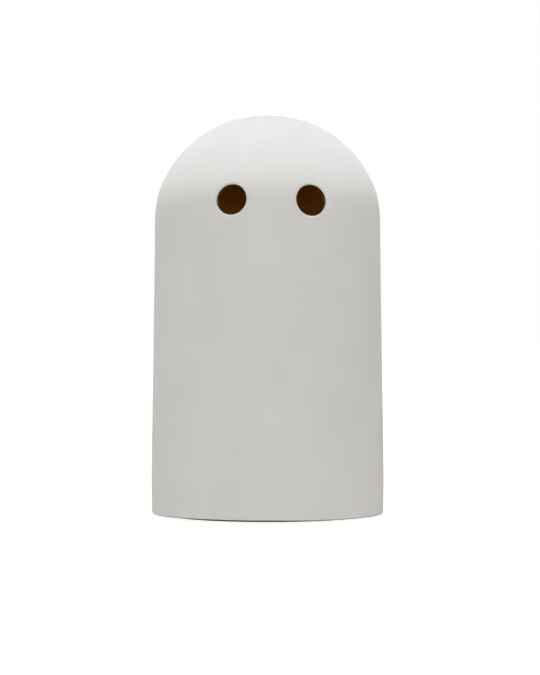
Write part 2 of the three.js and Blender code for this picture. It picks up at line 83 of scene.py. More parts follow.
camera = place_camera()
bpy.context.scene.view_settings.view_transform = "Standard"
print("camera at", [round(c, 3) for c in camera.location], "lens", camera.data.lens)

# %% [markdown]
# ## Shader maths as plain Python
# A finish is a small program of nodes. Wired by hand it is hard to read, so one class wraps a socket and
# lets Python's own signs add the Math nodes, and another keeps the material and adds any other node from
# its type, its settings and its inputs. `1 - mask` and `0.5 * grain + 0.2` then mean what they say.

# %% Wires
class Wire:
    """An output socket. Arithmetic on it adds Math nodes to the same tree."""

    def __init__(self, paint, socket):
        self.paint = paint
        self.socket = socket

    def math(self, operation, *values):
        return self.paint.node("ShaderNodeMath", {"operation": operation}, values)

    def __add__(self, other):
        return self.math("ADD", self, other)

    def __sub__(self, other):
        return self.math("SUBTRACT", self, other)

    def __rsub__(self, other):
        return self.math("SUBTRACT", other, self)

    def __mul__(self, other):
        return self.math("MULTIPLY", self, other)

    def __truediv__(self, other):
        return self.math("DIVIDE", self, other)

    def __pow__(self, other):
        return self.math("POWER", self, other)

    __radd__ = __add__
    __rmul__ = __mul__

    def between(self, low, high):
        """0 below low, 1 above high, and smooth from one to the other."""
        settings = {"interpolation_type": "SMOOTHSTEP"}
        return self.paint.node("ShaderNodeMapRange", settings, [self, low, high])


# %% Paints
class Paint:
    """A node tree and the short calls that fill it."""

    def __init__(self, tree):
        self.tree = tree

    def node(self, kind, settings=None, inputs=None, output=0):
        made = self.tree.nodes.new(kind)
        for key, value in (settings or {}).items():
            if key == "stops":
                self.set_stops(made.color_ramp, value)
            else:
                setattr(made, key, value)
        pairs = inputs.items() if isinstance(inputs, dict) else enumerate(inputs or ())
        for key, value in pairs:
            self.feed(made.inputs[key], value)
        return Wire(self, made.outputs[output])

    def feed(self, socket, value):
        if isinstance(value, Wire):
            self.tree.links.new(value.socket, socket)
        elif socket.type == "RGBA" and len(value) == 3:
            socket.default_value = (*value, 1)
        else:
            socket.default_value = value

    def set_stops(self, ramp, stops):
        while len(ramp.elements) < len(stops):
            ramp.elements.new(0.5)
        for element, (position, colour) in zip(ramp.elements, stops):
            element.position = position
            element.color = (*colour, 1)

    def blend(self, factor, first, second):
        """A colour between two colours."""
        inputs = {0: factor, 6: first, 7: second}
        return self.node("ShaderNodeMix", {"data_type": "RGBA"}, inputs, output=2)

    def where(self):
        """The point on the piece, in metres, in the piece's own frame."""
        return self.node("ShaderNodeTexCoord", output="Object")

    def parts(self, vector):
        """The x, y and z of a vector."""
        split = self.node("ShaderNodeSeparateXYZ", inputs=[vector]).socket.node
        return [Wire(self, socket) for socket in split.outputs]

    def axes(self):
        """The point's x, y and z in millimetres."""
        return [part * (1 / MM) for part in self.parts(self.where())]

    def stretched(self, x, y, z):
        """The point, with each axis scaled."""
        inputs = {"Vector": self.where(), "Scale": (x, y, z)}
        return self.node("ShaderNodeMapping", inputs=inputs)

    def noise(self, size, detail=2.0, roughness=0.5, distortion=0.0, at=None):
        """Cloudy noise whose lumps are about `size` millimetres."""
        inputs = {"Vector": at or self.where(), "Scale": 1 / (size * MM), "Detail": detail,
                  "Roughness": roughness, "Distortion": distortion}
        return self.node("ShaderNodeTexNoise", inputs=inputs)

    def speckle(self, size):
        """Distance to the nearest of many scattered points, about `size` millimetres apart."""
        inputs = {"Vector": self.where(), "Scale": 1 / (size * MM)}
        return self.node("ShaderNodeTexVoronoi", inputs=inputs)


# %% Finishes
class Finish(Paint):
    """A material with one Principled shader."""

    def __init__(self, name, **fixed):
        self.material = bpy.data.materials.new(name)
        self.material.use_nodes = True
        super().__init__(self.material.node_tree)
        self.shader = self.tree.nodes["Principled BSDF"]
        for key, value in fixed.items():
            self.feed(self.shader.inputs[key.replace("_", " ")], value)

    def surface(self, colour, roughness, **others):
        """Feeds the shader. A height in millimetres, called relief, goes through a Bump node."""
        relief = others.pop("relief", None)
        self.feed(self.shader.inputs["Base Color"], colour)
        self.feed(self.shader.inputs["Roughness"], roughness)
        for key, value in others.items():
            self.feed(self.shader.inputs[key.replace("_", " ")], value)
        if relief is not None:
            bump = self.node("ShaderNodeBump", inputs={"Distance": MM, "Height": relief})
            self.feed(self.shader.inputs["Normal"], bump)
        print("finish", self.material.name, "uses", len(self.tree.nodes), "nodes")
        return self.material


# %% [markdown]
# ## Meshes from profiles
# Most of this lamp is round about one axis: the ghost comes out of a mould made from a turned model, the
# base and the collar come off a lathe, and the steel ring is rolled from strip. So one helper sweeps a
# profile of radius and height about the lamp's axis. Blender's Screw modifier could do that too, but a
# function can also ripple the radius for flutes. Real edges are never perfectly sharp, and the thin
# highlight along a softened edge is what makes a render look solid, so another helper first rounds every
# corner of the profile.

# %% Rounded profiles
def rounded(corners, radius, steps=3, closed=True):
    """The same outline with each corner turned into a small arc."""
    points = []
    count = len(corners)
    for i, (x, y, *own) in enumerate(corners):
        size = own[0] if own else radius
        if size == 0 or (not closed and i in (0, count - 1)):
            points.append((x, y))
            continue
        here = Vector((x, y))
        before = Vector(corners[i - 1][:2]) - here
        after = Vector(corners[(i + 1) % count][:2]) - here
        half = before.angle(after) / 2
        reach = min(size / math.tan(half), before.length * 0.49, after.length * 0.49)
        start = here + before.normalized() * reach
        end = here + after.normalized() * reach
        for step in range(steps + 1):
            t = step / steps
            points.append(tuple((1 - t) ** 2 * start + 2 * t * (1 - t) * here + t ** 2 * end))
    return points


# %% Objects from points
CRISP = 35  # edges that turn by more degrees than this stay crisp


def smooth(mesh, angle=CRISP):
    mesh.shade_smooth()
    mesh.set_sharp_from_angle(angle=math.radians(angle))


def placed(name, mesh, angle=CRISP):
    """A smooth-shaded object of the scene."""
    smooth(mesh, angle)
    piece = bpy.data.objects.new(name, mesh)
    bpy.context.scene.collection.objects.link(piece)
    return piece


def mesh_piece(name, points, faces, angle=CRISP):
    """An object from points in millimetres."""
    mesh = bpy.data.meshes.new(name)
    mesh.from_pydata([tuple(c * MM for c in p) for p in points], [], faces)
    return placed(name, mesh, angle)


def bmesh_piece(name, body):
    """An object from a finished bmesh."""
    mesh = bpy.data.meshes.new(name)
    body.to_mesh(mesh)
    body.free()
    return placed(name, mesh)


TOO_CLOSE = 0.004  # points nearer to each other than this become one


def spaced(profile, closed=True):
    """The profile without points that lie on the one before."""
    kept = []
    for point in profile:
        if not kept or math.dist(point, kept[-1]) > TOO_CLOSE:
            kept.append(point)
    if closed and math.dist(kept[0], kept[-1]) < TOO_CLOSE:
        kept.pop()
    return kept


# %% Turning
def turned(name, profile, sides=128, closed=True, ripple=None):
    """Sweeps a counterclockwise profile about Z. A point with radius 0 becomes one vertex on the axis."""
    points = []
    rows = []
    for r, z in spaced(profile, closed):
        if r < 1e-6:
            rows.append([len(points)] * sides)
            points.append((0, 0, z))
            continue
        rows.append(list(range(len(points), len(points) + sides)))
        for i in range(sides):
            turn = 2 * math.pi * i / sides
            radius = ripple(r, z, turn) if ripple else r
            points.append((radius * math.sin(turn), -radius * math.cos(turn), z))
    faces = []
    for low, high in zip(rows, rows[1:] + rows[:1] if closed else rows[1:]):
        for i in range(sides):
            j = (i + 1) % sides
            corners = list(dict.fromkeys([low[i], low[j], high[j], high[i]]))
            if len(corners) > 2:
                faces.append(corners)
    return mesh_piece(name, points, faces)


def disc_piece(name, radius, low, high, sides=48, edge=0.0):
    """A turned disc, for plain round pieces and for cutting round holes."""
    profile = [(0, low), (radius, low), (radius, high), (0, high)]
    return turned(name, rounded(profile, edge, closed=False), sides, closed=False)


# %% Blocks, cutting and moving
def box_piece(name, low, high, bevel):
    """A block between two corners, with bevelled edges."""
    body = bmesh.new()
    bmesh.ops.create_cube(body, size=1)
    for vertex in body.verts:
        share = [c + 0.5 for c in vertex.co]
        vertex.co = [(a + s * (b - a)) * MM for a, b, s in zip(low, high, share)]
    bmesh.ops.bevel(body, geom=body.edges[:], offset=bevel * MM, segments=2, profile=0.5, affect="EDGES")
    return bmesh_piece(name, body)


def carve(piece, tools, operation="DIFFERENCE"):
    """Cuts tools out of a piece, or joins them to it, and throws the tools away."""
    for tool in tools:
        modifier = piece.modifiers.new("carve", "BOOLEAN")
        modifier.operation = operation
        modifier.solver = "EXACT"
        modifier.object = tool
    bpy.context.view_layer.update()
    shaped = piece.evaluated_get(bpy.context.evaluated_depsgraph_get())
    mesh = bpy.data.meshes.new_from_object(shaped)
    piece.modifiers.clear()
    piece.data = mesh
    body = bmesh.new()
    body.from_mesh(mesh)
    bmesh.ops.dissolve_degenerate(body, edges=body.edges[:], dist=TOO_CLOSE * MM)
    body.to_mesh(mesh)
    body.free()
    smooth(mesh)
    for tool in tools:
        bpy.data.objects.remove(tool)
    return piece


def move(piece, x=0.0, y=0.0, z=0.0, spin=0.0):
    """Moves the points of a piece, in millimetres, after a turn about Z. The object stays at the origin."""
    piece.data.transform(Matrix.Translation((x * MM, y * MM, z * MM)) @ Matrix.Rotation(spin, 4, "Z"))
    return piece


# %% [markdown]
# ## What every piece tells the frame
# A new piece takes its place from the box of the CAD node that it stands for. It also says which body it
# rides on, gets its finishes and hides the node. One helper makes all these calls, so that no piece goes
# without them.

# %% Boxes and the calls every piece needs
class Box:
    """A CAD node's box at rest, in millimetres: its low corner, its high corner and its middle."""

    def __init__(self, node):
        low, high = ([c / MM for c in corner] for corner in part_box(node))
        self.x0, self.y0, self.z0 = low
        self.x1, self.y1, self.z1 = high
        self.x, self.y, self.z = ((a + b) / 2 for a, b in zip(low, high))


def dress(piece, body, node, finishes):
    """The calls that every new piece needs, and its finishes. The piece stands for one CAD node."""
    for finish in finishes:
        piece.data.materials.append(finish)
    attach(piece, body)
    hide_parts(node)
    print("piece", piece.name, "has", len(piece.data.polygons), "faces")
    return piece


# %% [markdown]
# ## The ghost's outline
# The body widens very slightly from the shoulder down, is widest a little above the table and tucks in
# again to a rounded rim. The dome is not quite half a ball: it is 67.6 high on a radius of 70.4. The curve
# of the side was measured in the photograph, and the CAD solid keeps its ends and straightens it between.
# The shoulder is half a millimetre fuller than a true half ellipse, and the crown is a little flatter.
# The rim was cut by hand and isn't quite level: to the viewer's right of the middle it hangs 0.4 mm lower.
# A few points under a subdivision modifier would give much the same outline. Small functions are used
# instead, because the eye holes later need the surface at any height.

# %% Outline of the shell
SHOULDER, SHOULDER_Z = 70.4, 182.4
DOME_RISE = 67.6
FULLER, FULLER_Z, FULLER_REACH = 0.46, 202.5, 9  # the fuller part above the shoulder
CROWN_DIP, CROWN_REACH = 0.8, 13  # the flatter crown
FLARE = 2.15  # from the shoulder to the belly
BELLY, BELLY_Z = SHOULDER + FLARE, 27.0
TUCK = 0.25  # from the belly in to the rim
RIM, RIM_Z = BELLY - TUCK, 1.5
RIM_ROUND = 1.3
RIM_DIP, RIM_DIP_X, RIM_DIP_WIDTH = 0.42, 32, 34  # where the rim hangs lower
RIM_DIP_REACH = 12.0  # height over which that fades out
WALL = 4.5
# Each eye, cut by hand: its window's column, then azimuth in degrees, height and radius of the hole
EYES = {"left": (-10, -20.5, 194.3, 9.4), "right": (10, 20.5, 193.9, 9.6)}


def flare(t):
    """From 0 to 1 along a curve that leaves the belly at a slope of 0.85 and meets the shoulder at 0.4."""
    return 0.85 * (t ** 3 - 2 * t ** 2 + t) + (3 * t ** 2 - 2 * t ** 3) + 0.4 * (t ** 3 - t ** 2)


def fullness(z):
    """How far the shoulder stands out past the half ellipse."""
    return FULLER * math.exp(-((z - FULLER_Z) / FULLER_REACH) ** 2)


def shell_radius(z, depth=0.0):
    """Radius of the shell at a height, `depth` below its outer surface."""
    if z > SHOULDER_Z:
        share = min(1.0, (z - SHOULDER_Z) / (DOME_RISE - depth))
        return (SHOULDER - depth) * math.sqrt(1 - share ** 2) + fullness(z)
    if z > BELLY_Z:
        return BELLY - FLARE * flare((z - BELLY_Z) / (SHOULDER_Z - BELLY_Z)) - depth
    return BELLY - TUCK * ((BELLY_Z - z) / (BELLY_Z - RIM_Z - RIM_ROUND)) ** 2 - depth


def rim_dip(x):
    """How much lower the rim hangs at an x, which may be a number or a wire."""
    away = (x - RIM_DIP_X) / RIM_DIP_WIDTH
    return RIM_DIP * (away * away + 1) ** -2


def crown_dip(r):
    """How much lower the dome is than the half ellipse, at a radius."""
    return CROWN_DIP * math.exp(-(r / CROWN_REACH) ** 2)


print("shell radius at belly, middle and shoulder:",
      [round(shell_radius(z), 2) for z in (BELLY_Z, 105, SHOULDER_Z)])

# %% [markdown]
# ## The two glazes of the ghost
# The outside has a white matte glaze. It is almost even, and only close up does it show the faint orange
# peel that a sprayed glaze keeps, a few pinholes, and slow drifts of tone where it lies thicker. The lowest
# band of the rim is painted a dark grey-brown, as painted shade under its rounded bottom edge, and draws
# a thin line along the bottom edge.
# The inside was poured with an amber-brown glaze, glossier and with streaks where it ran. The walls of the
# eye holes are coloured almost black, as painted shade inside the holes.
# Painted images could hold all this, but they need unwrapping and blur close up. Noise that reads the point
# on the piece needs no unwrapping, and finds the painted shade of the rim by its height in millimetres.

# %% White and brown glaze
def white_glaze():
    glaze = Finish("white_matte_glaze", Specular_IOR_Level=0.005)
    drift = glaze.noise(38, detail=3).between(0.3, 0.7)
    peel = glaze.noise(1.1, detail=2)
    grain = glaze.noise(0.35, detail=3, roughness=0.6)
    pinholes = glaze.speckle(5.2).between(0.018, 0.05)
    x, _, rise = glaze.axes()
    # Painted shade: the lowest band of the rim is coloured dark grey-brown and made rougher.
    rim_shade = 1 - (rise + rim_dip(x) + 0.3 * grain).between(RIM_Z + 0.3, RIM_Z + 0.85)
    tone = glaze.blend(drift, (0.79, 0.787, 0.775), (0.816, 0.812, 0.803))
    tone = glaze.blend(0.05 * grain, tone, (0.62, 0.59, 0.55))
    tone = glaze.blend(0.35 * (1 - pinholes), tone, (0.5, 0.46, 0.4))
    tone = glaze.blend(rim_shade, tone, (0.13, 0.105, 0.085))
    relief = 0.03 * peel + 0.012 * grain + 0.03 * pinholes
    return glaze.surface(tone, 0.52 + 0.12 * peel + 0.2 * rim_shade, relief=relief)


def brown_glaze():
    glaze = Finish("amber_brown_glaze", Specular_IOR_Level=0.3)
    runs = glaze.noise(7, detail=3, at=glaze.stretched(1, 1, 0.22))
    clouds = glaze.noise(30, detail=3)
    grain = glaze.noise(0.7, detail=2)
    tone = glaze.node("ShaderNodeValToRGB", {"stops": [
        (0.3, (0.46, 0.28, 0.038)), (0.5, (0.52, 0.32, 0.044)), (0.7, (0.58, 0.36, 0.052))]},
        [0.5 * runs + 0.5 * clouds])
    x, y, z = glaze.axes()
    above = (z - SHOULDER_Z).math("MAXIMUM", z - SHOULDER_Z, 0) / (DOME_RISE - WALL)
    across = (x * x + y * y) / (SHOULDER - WALL) ** 2
    # Painted shade: the walls of the eye holes are coloured almost black.
    hole_wall_shade = (across + above * above).between(1.02, 1.07) * z.between(165, 175)
    tone = glaze.blend(0.97 * hole_wall_shade, tone, (0.04, 0.02, 0.005))
    return glaze.surface(tone, 0.42 + 0.15 * runs, relief=0.05 * runs + 0.02 * grain)


WHITE_GLAZE = white_glaze()
BROWN_GLAZE = brown_glaze()

# %% [markdown]
# ## Cutting the eyes without a boolean
# A hole cut by a boolean leaves long thin faces, and a smooth white glaze shows every one of them as a
# dent. So the shell is woven: a regular grid of quads, with a square window left out around each
# eye. Rings of points lead from the window's edge to the hole, over a rounded lip, through the wall and out
# to the same window on the inside. Each point is dropped onto the surface along the hole's own direction.

# %% Rows of the shell, from the rim over the pole and back down inside
COLUMNS = 180
WINDOW = 7  # columns and rows from the eye to the edge of its window
ROW = 2.45  # height of the rows beside the eyes
RIM_ROWS, BODY_ROWS, DOME_ROWS = 6, 36, 30
WINDOW_Z = 194.1  # middle of both windows
LIP = 1.2  # rounding of the hole's outer edge
INNER_LIP = 1.0


def shell_rows():
    """Profile rows as (radius, height), and where the eye windows are among them."""
    rim_rows = []
    for step in range(RIM_ROWS + 1):
        turn = math.radians(90 * step / RIM_ROWS - 90)
        rim_rows.append((RIM - RIM_ROUND * (1 - math.cos(turn)), RIM_Z + RIM_ROUND * (1 + math.sin(turn))))
    low = RIM_Z + RIM_ROUND
    window_low = WINDOW_Z - WINDOW * ROW
    body = [low + (window_low - low) * i / BODY_ROWS for i in range(1, BODY_ROWS)]
    window = [window_low + ROW * i for i in range(2 * WINDOW + 1)]

    def dome(depth):
        """Rows from the top of the windows to the pole, `depth` below the outer surface."""
        start = math.asin((window[-1] - SHOULDER_Z) / (DOME_RISE - depth))
        rows = []
        for i in range(1, DOME_ROWS + 1):
            turn = start + (math.pi / 2 - start) * i / DOME_ROWS
            z = SHOULDER_Z + (DOME_RISE - depth) * math.sin(turn)
            rows.append(((SHOULDER - depth) * math.cos(turn) + fullness(z), z))
        return rows

    outer = rim_rows + [(shell_radius(z), z) for z in body + window] + dome(0)
    inner = [(RIM - WALL + 0.8, RIM_Z), (RIM - WALL + 0.25, RIM_Z + 0.25), (RIM - WALL, RIM_Z + 0.8)]
    inner += [(shell_radius(z, WALL), z) for z in body + window] + dome(WALL)
    outer_window = len(rim_rows) + len(body)
    inner_window = len(outer) + len(inner) - 1 - (3 + len(body))
    return outer + inner[::-1], outer_window, inner_window, len(outer)


ROWS, OUTER_WINDOW, INNER_WINDOW, OUTER_COUNT = shell_rows()
print("shell rows:", len(ROWS), "of which outside:", OUTER_COUNT)

# %% Directions at an eye
def eye_axes(azimuth, height):
    """The hole's centre, its direction outwards, and the directions right and up across it."""
    radius = shell_radius(height)
    tilt = math.atan2((height - SHOULDER_Z) / DOME_RISE ** 2, radius / SHOULDER ** 2)
    out = Vector((math.sin(azimuth) * math.cos(tilt), -math.cos(azimuth) * math.cos(tilt), math.sin(tilt)))
    right = Vector((math.cos(azimuth), math.sin(azimuth), 0))
    centre = Vector((radius * math.sin(azimuth), -radius * math.cos(azimuth), height))
    return centre, out, right, right.cross(-out)


def dropped(point, out, depth):
    """The point moved along the hole's direction until it lies on the surface `depth` below the outside."""
    low, high = -18.0, 12.0
    for _ in range(40):
        middle = (low + high) / 2
        p = point + out * middle
        if math.hypot(p.x, p.y) < shell_radius(p.z, depth):
            low = middle
        else:
            high = middle
    return point + out * low


# %% The weave
class ShellWeave:
    """Collects the points and faces of the ghost. Finish 0 is the white glaze and 1 the brown."""

    def __init__(self):
        self.points = []
        self.faces = []
        self.finishes = []
        self.grid = []
        for r, z in ROWS:
            z -= crown_dip(r)
            if r < 1e-6:
                self.grid.append([self.add(Vector((0, 0, z)))] * COLUMNS)
                continue
            lower = max(0.0, 1 - (z - RIM_Z) / RIM_DIP_REACH)
            row = []
            for i in range(COLUMNS):
                turn = 2 * math.pi * i / COLUMNS
                x, y = r * math.sin(turn), -r * math.cos(turn)
                row.append(self.add(Vector((x, y, z - lower * rim_dip(x)))))
            self.grid.append(row)

    def add(self, point):
        self.points.append(tuple(point))
        return len(self.points) - 1

    def face(self, corners, finish):
        corners = list(dict.fromkeys(corners))
        if len(corners) > 2:
            self.faces.append(corners)
            self.finishes.append(finish)

    def in_window(self, row, column):
        lows = (OUTER_WINDOW, INNER_WINDOW - 2 * WINDOW)
        if not any(low <= row < low + 2 * WINDOW for low in lows):
            return False
        return any((column - eye[0] + WINDOW) % COLUMNS < 2 * WINDOW for eye in EYES.values())

    def weave_walls(self):
        for row, points in enumerate(self.grid):
            above = self.grid[(row + 1) % len(ROWS)]
            finish = 1 if OUTER_COUNT <= row < len(ROWS) - 1 else 0
            for column in range(COLUMNS):
                if not self.in_window(row, column):
                    outside_foot_shadow = (column + 1) % COLUMNS
                    self.face([points[column], points[outside_foot_shadow], above[outside_foot_shadow], above[column]], finish)

    def window_edge(self, eye, rows):
        """Grid points around a window, counterclockwise from its lower left as seen from outside."""
        columns = [(eye + i) % COLUMNS for i in range(-WINDOW, WINDOW + 1)]
        edge = [self.grid[rows[0]][c] for c in columns[:-1]]
        edge += [self.grid[r][columns[-1]] for r in rows[:-1]]
        edge += [self.grid[rows[-1]][c] for c in columns[:0:-1]]
        edge += [self.grid[r][columns[0]] for r in rows[:0:-1]]
        return edge

    def weave_eye(self, eye, azimuth, height, radius):
        centre, out, right, up = eye_axes(math.radians(azimuth), height)
        outer_edge = self.window_edge(eye, [OUTER_WINDOW + i for i in range(2 * WINDOW + 1)])
        inner_edge = self.window_edge(eye, [INNER_WINDOW - i for i in range(2 * WINDOW + 1)])

        def flat(index):
            offset = Vector(self.points[index]) - centre
            return offset.dot(right), offset.dot(up)

        def ring(rho, depth, lift, edge=None, share=1.0):
            """One ring of points: a circle of radius rho, or part of the way there from an edge."""
            made = []
            for index, guide in enumerate(outer_edge):
                a, b = flat(guide)
                turn = math.atan2(b, a)
                x, y = rho * math.cos(turn), rho * math.sin(turn)
                if edge:
                    ea, eb = flat(edge[index])
                    x, y = ea + share * (x - ea), eb + share * (y - eb)
                point = dropped(centre + x * right + y * up, out, depth)
                made.append(self.add(point + lift * out))
            return made

        rings = [(outer_edge, 0)]
        for share in (0.3, 0.58, 0.82):
            rings.append((ring(radius + LIP, 0, 0, outer_edge, share), 0))
        for degrees in (0, 22.5, 45, 67.5, 90):
            turn = math.radians(degrees)
            rho = radius + LIP * (1 - math.sin(turn))
            rings.append((ring(rho, 0, -LIP * (1 - math.cos(turn))), 0))
        rings.append((ring(radius, WALL, 2.0), 1))
        for degrees in (90, 60, 30, 0):
            turn = math.radians(degrees)
            rho = radius + INNER_LIP * (1 - math.sin(turn))
            rings.append((ring(rho, WALL, INNER_LIP * (1 - math.cos(turn))), 1))
        for share in (0.82, 0.58, 0.3):
            rings.append((ring(radius + INNER_LIP, WALL, 0, inner_edge, share), 1))
        rings.append((inner_edge, 1))
        for (first, _), (second, finish) in zip(rings, rings[1:]):
            for i in range(len(first)):
                j = (i + 1) % len(first)
                self.face([first[i], first[j], second[j], second[i]], finish)


# %% The ghost
def ghost_shell():
    weave = ShellWeave()
    weave.weave_walls()
    for eye in EYES.values():
        weave.weave_eye(*eye)
    piece = mesh_piece("ghost", weave.points, weave.faces, angle=60)
    piece.data.polygons.foreach_set("material_index", weave.finishes)
    used = {corner for face in weave.faces for corner in face}
    loose = [index for index in range(len(weave.points)) if index not in used]
    body = bmesh.new()
    body.from_mesh(piece.data)
    body.verts.ensure_lookup_table()
    bmesh.ops.delete(body, geom=[body.verts[i] for i in loose], context="VERTS")
    open_edges = sum(1 for edge in body.edges if len(edge.link_faces) != 2)
    print("ghost: volume", round(body.calc_volume() / MM ** 3 / 1000, 1), "cm3, open edges", open_edges)
    body.to_mesh(piece.data)
    body.free()
    return dress(piece, "ghost", "ghost_shell", finishes=[WHITE_GLAZE, BROWN_GLAZE])


ghost_shell()

# %% [markdown]
# ## Metals, wood, felt and plastics
# Each finish is a few nodes that say what the maker's process leaves behind: the lathe leaves rings, a
# brush leaves fine scratches round the plate, a mould leaves an even grain, and felt is a mat of fibres.
# Scanned textures could be used, but every piece would have to be unwrapped for them. These nodes read the
# point on the piece in millimetres, so one finish serves a small screw as well as a wide ring.

# %% Metals
def rings_around(paint, spacing, wobble=0.25):
    """Fine turning marks: waves that depend on the distance from the lamp's axis."""
    x, y, _ = paint.axes()
    radius = (x * x + y * y) ** 0.5
    marks = radius / spacing + wobble * paint.noise(6)
    return marks.math("SINE", marks * (2 * math.pi))


def bronze():
    paint = Finish("brushed_bronze", Metallic=1.0)
    x, y, z = paint.axes()
    radius = (x * x + y * y) ** 0.5
    spiral = paint.node("ShaderNodeCombineXYZ", inputs=[radius * 1.5, x.math("ARCTAN2", y, x) * 1.6, z])
    brush = paint.node("ShaderNodeTexNoise", inputs={"Vector": spiral, "Scale": 1.0, "Detail": 4.0})
    patina = paint.noise(9, detail=4, roughness=0.65)
    tone = paint.blend(patina.between(0.35, 0.7), (0.30, 0.175, 0.075), (0.20, 0.105, 0.04))
    tone = paint.blend(0.9 * brush.between(0.35, 0.75), tone, (0.42, 0.27, 0.125))
    return paint.surface(tone, 0.26 + 0.2 * brush + 0.1 * patina, relief=0.03 * brush)


def zinc(name="zinc_plated_steel", tint=(0.50, 0.51, 0.53), grey=(0.36, 0.36, 0.38)):
    paint = Finish(name, Metallic=1.0)
    spangle = paint.speckle(2.2)
    cloud = paint.noise(5, detail=3)
    tone = paint.blend(cloud.between(0.3, 0.7), tint, grey)
    return paint.surface(tone, 0.26 + 0.18 * cloud + 0.06 * spangle, relief=0.01 * paint.noise(0.3))


def nickel():
    paint = Finish("nickel_plate", Metallic=1.0)
    haze = paint.noise(3, detail=3)
    scuffs = paint.noise(0.5, detail=2, at=paint.stretched(1, 6, 1)).between(0.55, 0.75)
    tone = paint.blend(haze, (0.70, 0.69, 0.66), (0.60, 0.59, 0.57))
    return paint.surface(tone, 0.16 + 0.12 * haze + 0.15 * scuffs, relief=0.006 * scuffs)


BRONZE = bronze()
ZINC = zinc()
NICKEL = nickel()
SPRING_STEEL = zinc("nickel_plated_spring_steel", (0.62, 0.60, 0.57), (0.50, 0.49, 0.47))

# %% Wood, felt and rubber
def walnut():
    paint = Finish("oiled_walnut", Specular_IOR_Level=0.28)
    bent = paint.stretched(1, 0.14, 1)
    figure = paint.noise(16, detail=2, distortion=0.6, at=bent)
    x, _, z = paint.axes()
    growth = figure.math("SINE", figure * 26 + z * 0.9 + x * 0.35) * 0.5 + 0.5
    pores = paint.noise(0.55, detail=2, at=paint.stretched(1, 0.07, 1)).between(0.52, 0.72)
    cloud = paint.noise(24, detail=2)
    tone = paint.blend(growth, (0.034, 0.015, 0.007), (0.150, 0.076, 0.038))
    tone = paint.blend(0.5 * cloud, tone, (0.155, 0.083, 0.045))
    tone = paint.blend(0.6 * pores, tone, (0.026, 0.012, 0.006))
    lathe = rings_around(paint, 0.9)
    return paint.surface(tone, 0.42 + 0.18 * growth + 0.15 * pores, relief=0.01 * lathe - 0.05 * pores)


def felt():
    paint = Finish("pressed_brown_felt", Sheen_Weight=0.35, Sheen_Roughness=0.6, Specular_IOR_Level=0.1)
    fibres = paint.noise(0.6, detail=4, roughness=0.7, distortion=2.5)
    cross = paint.noise(0.5, detail=3, distortion=3.5, at=paint.stretched(1, 2.5, 1.6))
    clumps = paint.noise(2.6, detail=3).between(0.4, 0.62)
    tone = paint.blend(fibres, (0.070, 0.036, 0.016), (0.160, 0.087, 0.043))
    tone = paint.blend(0.6 * clumps, tone, (0.185, 0.104, 0.054))
    return paint.surface(tone, 0.88 + 0.1 * cross, relief=0.16 * fibres + 0.12 * cross)


def silicone():
    paint = Finish("grey_silicone", Specular_IOR_Level=0.35)
    dust = paint.noise(1.3, detail=4, roughness=0.7)
    cloud = paint.noise(14, detail=2)
    tone = paint.blend(0.5 * dust + 0.5 * cloud, (0.030, 0.029, 0.028), (0.062, 0.060, 0.057))
    return paint.surface(tone, 0.55 + 0.2 * dust, relief=0.015 * dust)


WALNUT = walnut()
FELT = felt()
SILICONE = silicone()

# %% Plastics
def moulded(name, dark, light, roughness=0.46, grain=0.02):
    """Injection moulded plastic with a fine spark-eroded grain and a slow drift of tone."""
    paint = Finish(name, Specular_IOR_Level=0.4)
    erosion = paint.noise(0.32, detail=2)
    pits = paint.speckle(0.55)
    drift = paint.noise(18, detail=2)
    tone = paint.blend(0.6 * drift + 0.4 * erosion, dark, light)
    return paint.surface(tone, roughness + 0.14 * erosion, relief=grain * erosion + grain * pits)


def opal():
    paint = Finish("opal_diffuser", Subsurface_Weight=0.25, Subsurface_Radius=(0.004, 0.003, 0.002),
                   Emission_Strength=GLOW)
    cloud = paint.noise(12, detail=3)
    satin = paint.noise(0.4, detail=2)
    tone = paint.blend(cloud, (0.30, 0.28, 0.24), (0.34, 0.32, 0.28))
    _, _, height = paint.axes()
    lit = (height + 4 * cloud).between(28, 60)
    glow = paint.blend(lit, (0.9, 0.46, 0.15), (1.0, 0.66, 0.32))
    return paint.surface(tone, 0.34 + 0.12 * satin, relief=0.008 * satin, Emission_Color=glow)


def sleeve(name, dark, light):
    paint = Finish(name, Specular_IOR_Level=0.5, Coat_Roughness=0.15)
    wrinkle = paint.noise(2.4, detail=2, at=paint.stretched(1, 0.12, 1))
    grain = paint.noise(0.4, detail=2)
    tone = paint.blend(0.7 * wrinkle + 0.3 * grain, dark, light)
    return paint.surface(tone, 0.26 + 0.12 * wrinkle, relief=0.03 * wrinkle)


GLOW = 1.05
DARK_PLASTIC = moulded("dark_moulded_plastic", (0.026, 0.024, 0.021), (0.042, 0.039, 0.034))
IVORY_PLASTIC = moulded("ivory_moulded_plastic", (0.62, 0.60, 0.54), (0.72, 0.71, 0.66))
OPAL = opal()
SLEEVE_DARK = sleeve("graphite_cell_sleeve", (0.045, 0.047, 0.05), (0.07, 0.072, 0.077))
SLEEVE_LIGHT = sleeve("silver_cell_band", (0.40, 0.41, 0.42), (0.52, 0.53, 0.54))
RED_WIRE = moulded("red_wire_insulation", (0.30, 0.018, 0.012), (0.38, 0.03, 0.02), 0.36, 0.008)
BLACK_WIRE = moulded("black_wire_insulation", (0.010, 0.010, 0.010), (0.02, 0.02, 0.02), 0.36, 0.008)

# %% [markdown]
# ## What the ghost stands on, from the table up
# A felt ring keeps the wood off the table. Over it comes the plinth, turned from one piece: a foot, a thin
# flange that carries the shell, and a drum around the electronics. The flange holds a soft gasket and three
# magnets, and the steel ring inside the shell sits down on them.
# Each is a profile for the turning helper. The holes that lie off the axis are cut afterwards with booleans:
# they sit in flat faces, where the long thin faces that a boolean leaves don't show.

